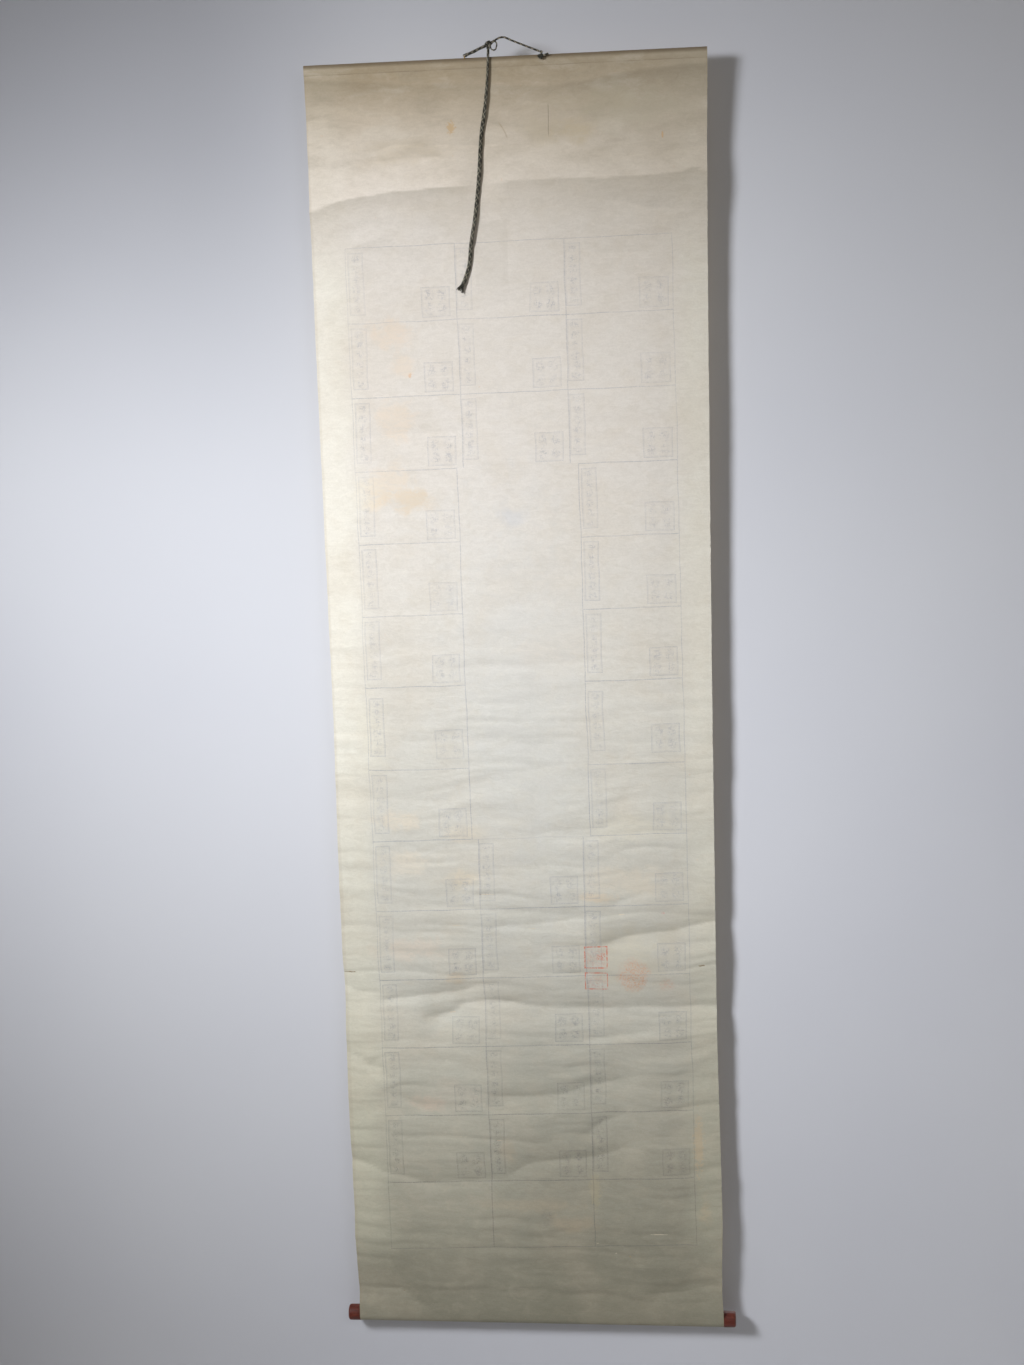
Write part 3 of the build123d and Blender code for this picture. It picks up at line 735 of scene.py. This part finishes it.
    # Soiling along the creases, with painted shade and highlight on their sides and painted shade below the shoulder
    shade = 1 - Wire(net, net.add("ShaderNodeAttribute", attribute_name="wear_and_painted_shading").outputs["Fac"])
    soil_and_painted_shading = net.add("ShaderNodeCombineColor", {"Red": shade, "Green": shade, "Blue": net.math("POWER", shade, 1.08)})
    colour = net.layers(
        colour, (step(noise(place, 0.11, 2, 0.5), 0.76, 0.8) * 0.2, (0.66, 0.4, 0.22)),
        (scratch * 0.5, (0.16, 0.13, 0.1)), (curved * 0.35, (0.36, 0.26, 0.14)),
        (flap * flap_fade, (0.22, 0.17, 0.11)),
        # On the next line, the dark band at the very top is grime and painted shade where the hem rounds over the stave
        (under * 0.12, (0.3, 0.24, 0.15)), (step(z + grain * 2.5, -31, -25.5) * 0.72, (0.15, 0.11, 0.065)),
        (edge * 0.15, (0.36, 0.28, 0.17)),
    )
    colour = mix(1, colour, soil_and_painted_shading.outputs[0], "MULTIPLY")
    return net.finish(net.surface(colour, 0.86, grain * 0.5 + fluff * 1.6, 0.4, 0.0006, Specular_IOR_Level=0.2))


def picture_material():
    """The side towards the wall: a plain silk mount round a ruled paper panel, with nothing pictured."""
    net = Net(bpy.data.materials.new("silk_mount_and_ruled_panel"))
    place = net.place()
    x, z = net.x_and_z(place)
    mix, step, noise = net.mix, net.step, net.noise
    weave = net.math("SINE", x * 7) * net.math("SINE", z * 6.1)
    slub = noise(net.scaled(place, (0.03, 1, 1.2)), 1, 3, 0.6)
    age = noise(place, 0.012, 4, 0.6, 0.4)
    silk = net.layers(
        mix(step(weave, -1, 1), (0.23, 0.18, 0.11), (0.32, 0.26, 0.165)),
        (step(slub, 0.35, 0.7, 0, 0.5), (0.36, 0.295, 0.195)),
        (step(age, 0.45, 0.75, 0, 0.4), (0.18, 0.14, 0.085)),
    )
    lines, frames, blobs, _ = printed_fields(net, place, x, z)
    dabs = blobs * step(noise(place, 0.3, 3, 0.6, 1), 0.48, 0.6)
    panel = net.layers(
        mix(step(age, 0.35, 0.7), (0.68, 0.61, 0.48), (0.56, 0.48, 0.35)),
        (step(noise(place, 0.3, 4, 0.65), 0.35, 0.7, 0, 0.12), (0.44, 0.37, 0.26)),
        (net.highest([lines, frames]) * 0.8, (0.07, 0.06, 0.055)), (dabs * 0.45, (0.3, 0.085, 0.05)),
    )
    inner, band = (net.inside(x, z, 1.5, -1062, 249 + reach, 786 + reach, 0.4) for reach in (0, 8))
    gold = mix(step(weave, -0.6, 0.6), (0.3, 0.2, 0.075), (0.42, 0.3, 0.13))
    colour = net.layers(silk, (band, gold), (inner, panel))
    height = weave * (0.25 - inner * 0.22) + slub
    roughness = mix(inner, (0.6, 0.6, 0.6), (0.85, 0.85, 0.85))
    return net.finish(net.surface(colour, roughness, height, 0.35, 0.0004, Specular_IOR_Level=0.3))


sheet.data.materials.append(paper_material())
sheet.data.materials.append(picture_material())


# ---------------------------------------------------------------- wood, lacquer, brass, braid
def wood_material(name, dark, pale):
    net = Net(bpy.data.materials.new(name))
    place = net.place()
    grain = net.noise(net.scaled(place, (0.012, 0.9, 0.9)), 1, 5, 0.62, 0.6)
    pores = net.noise(net.scaled(place, (0.06, 3, 3)), 1, 2, 0.5)
    colour = net.mix(net.step(grain, 0.3, 0.7), dark, pale)
    colour = net.mix(net.step(pores, 0.55, 0.75, 0, 0.4), colour, tuple(c * 0.6 for c in dark))
    return net.finish(net.surface(colour, net.step(grain, 0.2, 0.8, 0.5, 0.7), grain, 0.25, 0.0003))


def lacquer_material():
    net = Net(bpy.data.materials.new("worn_red_lacquer"))
    place = net.place()
    x, _ = net.x_and_z(place)
    grain = net.noise(net.scaled(place, (0.05, 0.6, 0.6)), 1, 5, 0.65, 0.8)
    blot = net.noise(place, 0.12, 3, 0.6)
    scratches = net.noise(net.scaled(place, (0.4, 4, 4)), 1, 2, 0.5)
    colour = net.layers(
        net.mix(net.step(grain, 0.3, 0.72), (0.055, 0.009, 0.005), (0.135, 0.022, 0.011)),
        (net.step(blot, 0.5, 0.75, 0, 0.6), (0.17, 0.04, 0.02)),
        (net.step(abs(x) + blot * 3, 307, 311.5) * 0.55, (0.17, 0.06, 0.035)),
    )
    return net.finish(net.surface(colour, net.step(blot, 0.3, 0.7, 0.42, 0.62), grain + scratches * 0.3, 0.2, 0.0002,
                                  Coat_Weight=0.03, Coat_Roughness=0.4, Specular_IOR_Level=0.28))


def brass_material():
    net = Net(bpy.data.materials.new("aged_brass_wire"))
    stain = net.noise(net.place(), 0.6, 4, 0.65, 0.5)
    colour = net.mix(net.step(stain, 0.35, 0.65), (0.52, 0.36, 0.14), (0.2, 0.13, 0.06))
    return net.finish(net.surface(colour, net.step(stain, 0.3, 0.7, 0.28, 0.6), stain, 0.2, 0.0001, Metallic=1))


def braid_material(name, dark, pale):
    net = Net(bpy.data.materials.new(name))
    place = net.place()
    fibre = net.noise(net.scaled(place, (1.6, 1.6, 0.5)), 1, 3, 0.6, 0.4)
    fade = net.step(net.noise(place, 0.05, 3, 0.6), 0.45, 0.7, 0, 0.35)
    colour = net.mix(net.step(fibre, 0.35, 0.68), dark, pale)
    colour = net.mix(fade, colour, tuple(c * lift for c, lift in zip(dark, (2.1, 2, 1.9))))
    return net.finish(net.surface(colour, 0.8, fibre, 0.5, 0.0003,
                                  Sheen_Weight=0.25, Sheen_Roughness=0.5, Specular_IOR_Level=0.25))


PALE_WOOD = wood_material("planed_cedar", (0.36, 0.22, 0.11), (0.60, 0.43, 0.25))
LACQUER = lacquer_material()
BRASS = brass_material()
DARK_BRAID = braid_material("dark_olive_yarn", (0.015, 0.014, 0.009), (0.048, 0.044, 0.030))
PALE_BRAID = braid_material("pale_olive_yarn", (0.20, 0.185, 0.14), (0.40, 0.37, 0.29))
BEIGE_BRAID = braid_material("beige_yarn", (0.30, 0.26, 0.19), (0.56, 0.50, 0.39))

for node in ("top_stave", "bottom_roller"):
    for material_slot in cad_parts[node].material_slots:
        material_slot.material = PALE_WOOD


# ---------------------------------------------------------------- knobs
def lathe(name, profile, y, z, side):
    """A turned piece about the X axis: profile is (distance from the middle, radius)."""
    vertices = [(side * x, y + r * math.cos(a), z + r * math.sin(a)) for x, r in profile for a in around(72)]
    faces = grid_faces(0, len(profile), 72)
    if side < 0:
        faces = [face[::-1] for face in faces]
    return mesh_object(name, np.array(vertices) * MM, faces, 0.6)


def knob_profile():
    inner, outer, radius, rim = 290.15, 309.1, 12.5, 3.2
    points = [(304.8, 0.01), (304.7, 7.2), (304.3, 7.6), (inner + 0.4, 7.62), (inner, 8.0), (inner, radius - 0.5)]
    points += [(inner + 0.5, radius), (inner + 2.0, radius), (inner + 2.3, radius - 0.25), (inner + 2.6, radius)]
    points += [(inner + 8, radius - 0.02)]
    for degrees in np.linspace(90, 0, 9):
        a = math.radians(degrees)
        points.append((outer - rim + rim * math.cos(a), radius - 0.15 - rim + rim * math.sin(a)))
    return points + [(outer + 0.15, 6.0), (outer + 0.2, 2.0), (outer + 0.2, 0.01)]


for side, name in ((-1, "left"), (1, "right")):
    knob = lathe("turned_knob_" + name, knob_profile(), ROLLER_Y, ROLLER_Z, side)
    knob.data.materials.append(LACQUER)
    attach(knob, "root")
    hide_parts("roller_knob_" + name)


# ---------------------------------------------------------------- tubes and braids
def spline_points(points, spacing):
    """Evenly read points, in metres, of a smooth spline whose control points these are."""
    curve = bpy.data.curves.new("line", "CURVE")
    curve.dimensions = "3D"
    curve.resolution_u = 24
    spline = curve.splines.new("NURBS")
    spline.points.add(len(points) - 1)
    for point, place in zip(spline.points, points):
        point.co = (*[c * MM for c in place], 1)
    spline.order_u = 3
    spline.use_endpoint_u = True
    obj = bpy.data.objects.new("line", curve)
    mesh = bpy.data.meshes.new_from_object(obj)
    line = np.array([v.co for v in mesh.vertices], float)
    bpy.data.objects.remove(obj)
    bpy.data.curves.remove(curve)
    bpy.data.meshes.remove(mesh)
    return resample(line, spacing * MM)


def lengths(line):
    """The way along a line to each of its points."""
    return np.concatenate([[0], np.cumsum(np.linalg.norm(np.diff(line, axis=0), axis=1))])


def resample(line, spacing):
    way = lengths(line)
    at = np.linspace(0, way[-1], max(2, int(round(way[-1] / spacing)) + 1))
    return np.stack([np.interp(at, way, line[:, k]) for k in range(3)], -1)


def line_through(points, spacing):
    """A line in metres through points in millimetres."""
    return resample(np.array(points, float) * MM, spacing * MM)


def frames_along(line, first=(0, -1, 0)):
    """Side and depth directions along a line, carried without twist."""
    tangent = np.gradient(line, axis=0)
    tangent /= np.linalg.norm(tangent, axis=1)[:, None]
    side = np.zeros_like(line)
    depth = np.array(first, float)
    for i, t in enumerate(tangent):
        depth = depth - t * depth.dot(t)
        depth /= np.linalg.norm(depth)
        side[i] = np.cross(depth, t)
    return side, np.cross(tangent, side)


class Tubes:
    """Gathers tubes of yarn into one mesh with a dark and a pale material."""

    def __init__(self):
        self.vertices, self.faces, self.tones = [], [], []

    def tube(self, line, radius, tone=0, sides=7, taper=1.0):
        side, depth = frames_along(line, (0.1, -1, 0.05))
        start, count = len(self.vertices), len(line)
        for p, r, u, v in zip(line, np.full(count, radius) * taper, side, depth):
            self.vertices += [p + r * (math.cos(a) * u + math.sin(a) * v) for a in around(sides)]
        self.faces += grid_faces(start, count, sides)
        self.faces.append(tuple(range(start, start + sides))[::-1])
        self.faces.append(tuple(range(start + (count - 1) * sides, start + count * sides)))
        self.tones += [tone] * ((count - 1) * sides + 2)

    def plait(self, line, each, across, thick, radius, pitch, tones, twist=None, lift=0.2, core=0.0):
        """A plain plait: as many strands wind one way as the other, each over and under in turn."""
        side, depth = frames_along(line)
        way_along = lengths(line)
        turn = np.zeros(len(line)) if twist is None else twist(way_along / MM)
        wide = np.cos(turn)[:, None] * side + np.sin(turn)[:, None] * depth
        deep = -np.sin(turn)[:, None] * side + np.cos(turn)[:, None] * depth
        lap = 2 * np.pi * way_along / (pitch * MM)
        for way, colours in zip((1, -1), tones):
            for n in range(each):
                a = way * lap + 2 * np.pi * n / each
                over = way * lift * np.cos(each * lap)
                path = line + ((across + over) * np.cos(a) * MM)[:, None] * wide
                path = path + ((thick + over) * np.sin(a) * MM)[:, None] * deep
                self.tube(path, radius * MM, colours[n % len(colours)], 6)
        if core:
            for shift in (-core, 0, core):
                self.tube(line + shift * MM * wide, core * 0.85 * MM)

    def rope(self, points, spacing, strands, reach, radius, pitch, tones):
        """A laid rope through points in millimetres: strands wind round its line."""
        line = line_through(points, spacing)
        side, depth = frames_along(line)
        for n in range(strands):
            phase = 2 * np.pi * (lengths(line) / (pitch * MM) + n / strands)
            path = line + reach * MM * (np.cos(phase)[:, None] * side + np.sin(phase)[:, None] * depth)
            self.tube(path, radius * MM, tones[n % len(tones)])

    def build(self, name, pale=None):
        obj = mesh_object(name, self.vertices, self.faces, 1.2)
        obj.data.materials.append(DARK_BRAID)
        obj.data.materials.append(pale or PALE_BRAID)
        obj.data.polygons.foreach_set("material_index", self.tones)
        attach(obj, "root")
        return obj


# ---------------------------------------------------------------- hanging cord
# The centre of the stave's back corner, which the screw rings' shanks pass through
CORNER_Y, CORNER_Z = 6.5054, STAVE[3] - STAVE_BACK_RADIUS


def outward(distance, x=0.0):
    """The point this far from the centre of the stave's back corner, along an eyelet's shank."""
    return np.array([x, CORNER_Y - distance * math.sin(math.pi / 4), CORNER_Z + distance * math.cos(math.pi / 4)])


RING_REACH, RING_RADIUS, WIRE_RADIUS = 7.1, 2.1, 0.7
LOOP = {side: outward(RING_REACH + RING_RADIUS, x) for side, x in (("left", -EYELET_X), ("right", EYELET_X))}
HALF_TURN = math.atan2(-LOOP["left"][2], EYELET_X)
APEX = np.array([0.0, 0.0, 1.2 + 4.2 * (1 / math.cos(HALF_TURN) - 1)])
LEG = np.linalg.norm(LOOP["left"] - APEX)
DOWN = {side: (LOOP[side] - APEX) / LEG for side in LOOP}
INWARD = np.array([0, 1, 0])


def on_leg(side, distance):
    """A point of the hanging cord's leg at a distance from its top."""
    return APEX + DOWN[side] * distance


cord_end = LEG - 2.7
hanging_line = spline_points([
    on_leg("left", cord_end), on_leg("left", cord_end - 14), on_leg("left", 14.4), APEX + np.array([0, 0, 1.25]),
    on_leg("right", 14.4), on_leg("right", cord_end - 14), on_leg("right", cord_end),
], 0.6)
tubes = Tubes()
tubes.plait(hanging_line, 4, 0.86, 0.78, 0.56, 8.5, ((0, 1, 0, 0), (0, 0, 1, 0)), lift=0.12, core=0.45)
hanging_cord = tubes.build("hanging_braid", BEIGE_BRAID)
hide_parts("hanging_cord")


def knot_line(centre, right, up, size):
    """A closed overhand knot's line, scaled along right, up and the direction to the viewer."""
    t = np.linspace(0, 2 * np.pi, 90)
    a, b, c = np.sin(t) + 2 * np.sin(2 * t), np.cos(t) - 2 * np.cos(2 * t), -np.sin(3 * t)
    right, up = np.array(right, float), np.array(up, float)
    line = (size[0] / 3 * a)[:, None] * right + (size[1] / 3 * b)[:, None] * up
    return centre + line + (size[2] * c)[:, None] * np.cross(right, up)


def turned(count, place):
    """The points that place gives for the angles of one turn."""
    return [place(a) for a in np.linspace(0, 2 * np.pi, count)]


def ring_turn(side):
    """A turn of yarn through a screw ring."""
    out = (LOOP[side] - outward(RING_REACH, LOOP[side][0])) / RING_RADIUS
    return turned(40, lambda a: LOOP[side] + 1.5 * (math.cos(a) * np.array([1, 0, 0]) + math.sin(a) * out))


# The left leg is doubled from its ring to the tie cord's knot
tubes = Tubes()
double = [on_leg("left", d) + np.array([-0.4, -0.6, -2.1 + 0.25 * math.sin(d * 0.4)])
          for d in np.linspace(LEG - 2.0, 24.5, 12)]
tubes.plait(line_through(double, 0.6), 4, 0.74, 0.7, 0.46, 7.5, ((0, 0, 0, 1), (0, 0, 0, 0)), lift=0.12, core=0.4)
left_double = tubes.build("hanging_braid_double", BEIGE_BRAID)

leg_direction = -DOWN["left"]
tubes = Tubes()
tubes.rope(ring_turn("left"), 0.5, 3, 0.45, 0.5, 5, (0, 1, 0))
tubes.rope(knot_line(LOOP["left"] + 1.8 * leg_direction, leg_direction, (0, 0, 1), (2.6, 1.8, 1.0)),
           0.5, 3, 0.5, 0.6, 5, (0, 0, 1))
left_knot = tubes.build("hanging_knot_left_yarn", BEIGE_BRAID)
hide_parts("hanging_knot_left")

# Right: a small loop through the ring, then a fat dark stopper knot and its tail
tubes = Tubes()
tubes.rope(ring_turn("right"), 0.5, 3, 0.45, 0.5, 5, (0, 1, 0))
stopper = np.array([EYELET_X - 0.8, SHEET_Y - CAD_THICKNESS - 3.7, LOOP["right"][2] - 6])
tubes.rope(knot_line(stopper, (1, 0, 0.1), (0, 0, 1), (3.5, 2.7, 1.3)), 0.5, 3, 0.7, 0.85, 6, (0, 0, 0))
tubes.rope(knot_line(stopper + (0.6, 0.2, 0.6), (1, 0, -0.2), (0, 0, 1), (2.2, 1.8, 1.2)),
           0.5, 3, 0.6, 0.8, 6, (0, 0, 0))
join = [LOOP["right"] - 1.6 * DOWN["right"], LOOP["right"] + (0.4, -1.6, -0.6), stopper + (0.6, -0.4, 2.4), stopper]
tubes.rope(join, 0.5, 3, 0.55, 0.6, 6, (0, 0, 1))
tail = [stopper + at for at in ((0, 0, 0), (3.6, -0.5, 0.4), (6.2, -0.5, 1.6), (9.0, -0.2, 2.2), (10.6, 0.3, 3.4))]
tubes.rope(tail, 0.5, 4, 0.75, 0.7, 7, (0, 0, 1, 0))
right_knot = tubes.build("hanging_knot_right_yarn", BEIGE_BRAID)
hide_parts("hanging_knot_right")

# ---------------------------------------------------------------- tie cord
tie_line = spline_points(TIE_ROUTE, 1.0)


def tie_twist(way):
    """How the flat braid turns on its way, in radians."""
    return 0.35 * np.sin(way / 31.0) + 0.25 * np.sin(way / 13.0 + 1.0)


tubes = Tubes()
# Near its knot the braid is drawn narrow
tie_across = 1.15 + 1.15 * smooth(np.linspace(0, 345, len(tie_line)), 30, 110)
tubes.plait(tie_line, 6, tie_across, 1.0, 0.68, 19, ((0, 1, 0, 1, 0, 0), (0, 1, 0, 0, 1, 0)), tie_twist, 0.26, 0.95)
tie_cord = tubes.build("tie_braid")
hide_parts("tie_cord")

# Its knot on the left leg: turns round the leg, an overhand knot and a small open loop
start = np.array(TIE_ROUTE[0], float)
upward = start - np.array(TIE_ROUTE[1], float)
upward /= np.linalg.norm(upward)
knot_centre = start + upward * 4.6
tubes = Tubes()
across = np.array([-leg_direction[2], 0, leg_direction[0]])
tubes.rope(knot_line(knot_centre + (0, -0.4, 0.2), leg_direction, across, (3.6, 3.2, 1.7)),
           0.6, 3, 0.65, 0.8, 7, (0, 0, 1))
for shift, size in ((-1.6, 3.0), (1.3, 2.8)):
    turns = turned(50, lambda a: knot_centre + leg_direction * (shift + 0.5 * math.cos(a))
                   + size * (math.cos(a) * across + 0.75 * math.sin(a) * INWARD))
    tubes.rope(turns, 0.6, 3, 0.6, 0.7, 7, (0, 0, 1))
small_loop = turned(46, lambda a: knot_centre + (
    7.9 - 4.4 * math.cos(a) + 0.8 * math.sin(a), -2.2 + 0.6 * math.sin(a),
    -3.4 + 5.9 * math.sin(a) - 0.7 * math.sin(2 * a)))
tubes.rope(small_loop, 0.6, 3, 0.5, 0.6, 7, (0, 1, 0))
neck = line_through([start + upward * 3, start + upward * 1.5, start, start - upward * 2], 0.6)
tubes.plait(neck, 4, 1.7, 1.1, 0.8, 16, ((0, 0, 1, 0), (0, 1, 0, 0)))
tie_knot = tubes.build("tie_knot_yarn")
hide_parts("tie_knot")

# Frayed end: loose yarns that spread into a small brush
tubes = Tubes()
end = tie_line[-1] / MM
down = np.array((-0.53, 0.02, -0.85))
cross = np.cross(down, INWARD)
random.seed(5)
for n in range(64):
    a = random.uniform(-1, 1)
    b = random.uniform(-1, 1)
    length = random.uniform(8.6, 12.2) * (1 - 0.12 * b * b)
    root = end + cross * a * 1.9 + INWARD * b * 1.1
    lobe = 1 if a > 0 else -1
    line = []
    for t in np.linspace(0, 1, 9):
        spread = (a * 2.6 + lobe) * t**1.3 + 0.5 * math.sin(5 * t + 9 * a)
        line.append(root - down * 1.5 + down * length * t + cross * spread + INWARD * b * 1.5 * t**1.4)
    tubes.tube(np.array(line) * MM, 0.34 * MM, 1 if n % 6 == 0 else 0, 5, np.linspace(1.0, 0.55, 9))
tie_tuft = tubes.build("tie_tuft_yarn")
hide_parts("tie_tuft")


# ---------------------------------------------------------------- eyelets
# The shank and its collar: distance from the stave's corner and radius
SHANK = [
    (RING_REACH - RING_RADIUS - 0.1, 0.3), (RING_REACH - RING_RADIUS - 0.1, 0.68), (4.5, 0.68), (4.5, 1.2),
    (4.25, 1.3), (4.12, 1.2), (4.1, 0.7), (0.0, 0.68), (-3.6, 0.6), (-4.0, 0.1),
]


def eyelet(name, x):
    """A screw ring: a round wire ring, a shank and a small collar."""
    ring, section, sides = 40, 12, 16
    centre, out, side = outward(RING_REACH, x), outward(1) - outward(0), np.array([1.0, 0, 0])
    deep = np.cross(side, out)
    vertices = []
    for a in around(ring):
        radial = math.cos(a) * out + math.sin(a) * deep
        for b in around(section):
            wire = WIRE_RADIUS * (math.cos(b) * radial + math.sin(b) * side)
            vertices.append((centre + RING_RADIUS * radial + wire) * MM)
    faces = [face[::-1] for face in grid_faces(0, ring, section, closed=True)]
    faces += grid_faces(len(vertices), len(SHANK), sides)
    for distance, r in SHANK:
        vertices += [(outward(distance, x) + r * (math.cos(b) * side + math.sin(b) * deep)) * MM for b in around(sides)]
    obj = mesh_object(name, vertices, faces, 0.8)
    obj.data.materials.append(BRASS)
    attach(obj, "root")
    return obj


for side, x in (("left", -EYELET_X), ("right", EYELET_X)):
    ring = eyelet("screw_ring_" + side, x)
    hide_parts("eyelet_" + side)


# ---------------------------------------------------------------- wall, floor, light, camera
def stage_material(name, tone, patch_tone, corner=0.0, glow=0.0):
    """A plain painted surface; corner darkens it towards the upper left with painted shade, glow keeps it pale where it
    is seen.
    """
    net = Net(bpy.data.materials.new(name))
    place = net.place()
    x, z = net.x_and_z(place)
    colour = net.mix(net.step(net.noise(place, 0.0012, 3, 0.5), 0.3, 0.7), tone, patch_tone)
    # Painted shade, darker towards the upper left
    painted_corner_shade = net.step(z, -700.0, 0.0) * net.fall(x, -500.0, -100.0)
    colour = net.mix(painted_corner_shade * corner, colour, (0.5, 0.5, 0.52), "MULTIPLY")
    surface = net.surface(colour, 0.9, net.noise(place, 0.06, 3, 0.6), 0.08, 0.001)
    if glow:
        pale = net.add("ShaderNodeEmission", {"Color": (*patch_tone, 1)}).outputs[0]
        surface = net.blend(net.seen_ray() * glow, surface, pale)
    # It can't be seen from behind
    behind = net.add("ShaderNodeNewGeometry").outputs["Backfacing"]
    return net.finish(net.blend(behind, surface, net.add("ShaderNodeBsdfTransparent").outputs[0]))


def panel(name, corners, material):
    """A flat part of the stage."""
    obj = mesh_object(name, corners, [(0, 1, 2, 3)])
    obj.data.materials.append(material)
    return obj


# The wall leans back a little: it is nearer at the scroll's foot
WALL_Y, WALL_LEAN, FLOOR_Z = 0.049, 0.004, -2.4
corners = ((-6, FLOOR_Z), (6, FLOOR_Z), (6, 3), (-6, 3))
wall = panel("backdrop_wall", [(x, WALL_Y + WALL_LEAN * z, z) for x, z in corners],
             stage_material("pale_wall", (0.60, 0.61, 0.66), (0.64, 0.65, 0.69), 0.62))
wall.visible_shadow = False
floor = panel("pale_floor", [(x, y, FLOOR_Z) for x, y in ((-8, -8), (8, -8), (8, 8), (-8, 8))],
              stage_material("pale_floor", (0.80, 0.80, 0.81), (0.84, 0.84, 0.84), glow=0.7))
wall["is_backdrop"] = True
floor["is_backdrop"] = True

world = Net(bpy.data.worlds.new("studio"))
ambient = world.add("ShaderNodeBackground", {"Color": (1.0, 0.92, 0.78, 1), "Strength": 0.15}).outputs[0]
seen = world.add("ShaderNodeBackground", {"Color": (0.80, 0.81, 0.84, 1), "Strength": 0.9}).outputs[0]
bpy.context.scene.world = world.finish(world.blend(world.seen_ray(), ambient, seen), "ShaderNodeOutputWorld")


def area_light(name, place, target, size, power, colour, spread=180):
    """A round lamp at a place, aimed at a target."""
    light = bpy.data.lights.new(name, "AREA")
    light.shape = "DISK"
    light.size = size
    light.energy = power
    light.color = colour
    light.spread = math.radians(spread)
    obj = bpy.data.objects.new(name, light)
    bpy.context.scene.collection.objects.link(obj)
    obj.location = place
    obj.rotation_euler = (Vector(target) - Vector(place)).to_track_quat("-Z", "Y").to_euler()


area_light("key", (-1.9, -2.15, 0.25), (0.1, 0.0, -1.05), 0.7, 13.4, (0.94, 0.962, 1.0), 58)
area_light("fill", (1.5, -2.6, 0.1), (0.1, 0.0, -0.85), 1.2, 1.8, (0.98, 0.98, 1.0), 90)
area_light("rear", (0.9, 2.6, -0.1), (0.0, 0.0, -1.0), 1.6, 45, (0.97, 0.98, 1.0))

camera = bpy.data.cameras.new("camera")
camera.sensor_width = 36
camera.lens = 48.761
view = bpy.data.objects.new("camera", camera)
bpy.context.scene.collection.objects.link(view)
right, up = Vector((0.99488, 0.0965, -0.02987)), Vector((0.01446, 0.15664, 0.98755))
right.normalize()
up = (up - right * up.dot(right)).normalized()
back = right.cross(up)
turn = Matrix((right, up, back)).transposed().to_4x4()
view.matrix_world = Matrix.Translation((0.2638, -2.7299, -0.5002)) @ turn
bpy.context.scene.camera = view
bpy.context.scene.view_settings.view_transform = "Standard"

boxes = {"cad": cad_box, "visual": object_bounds()}
{name: [list(corner) for corner in box] for name, box in boxes.items()}
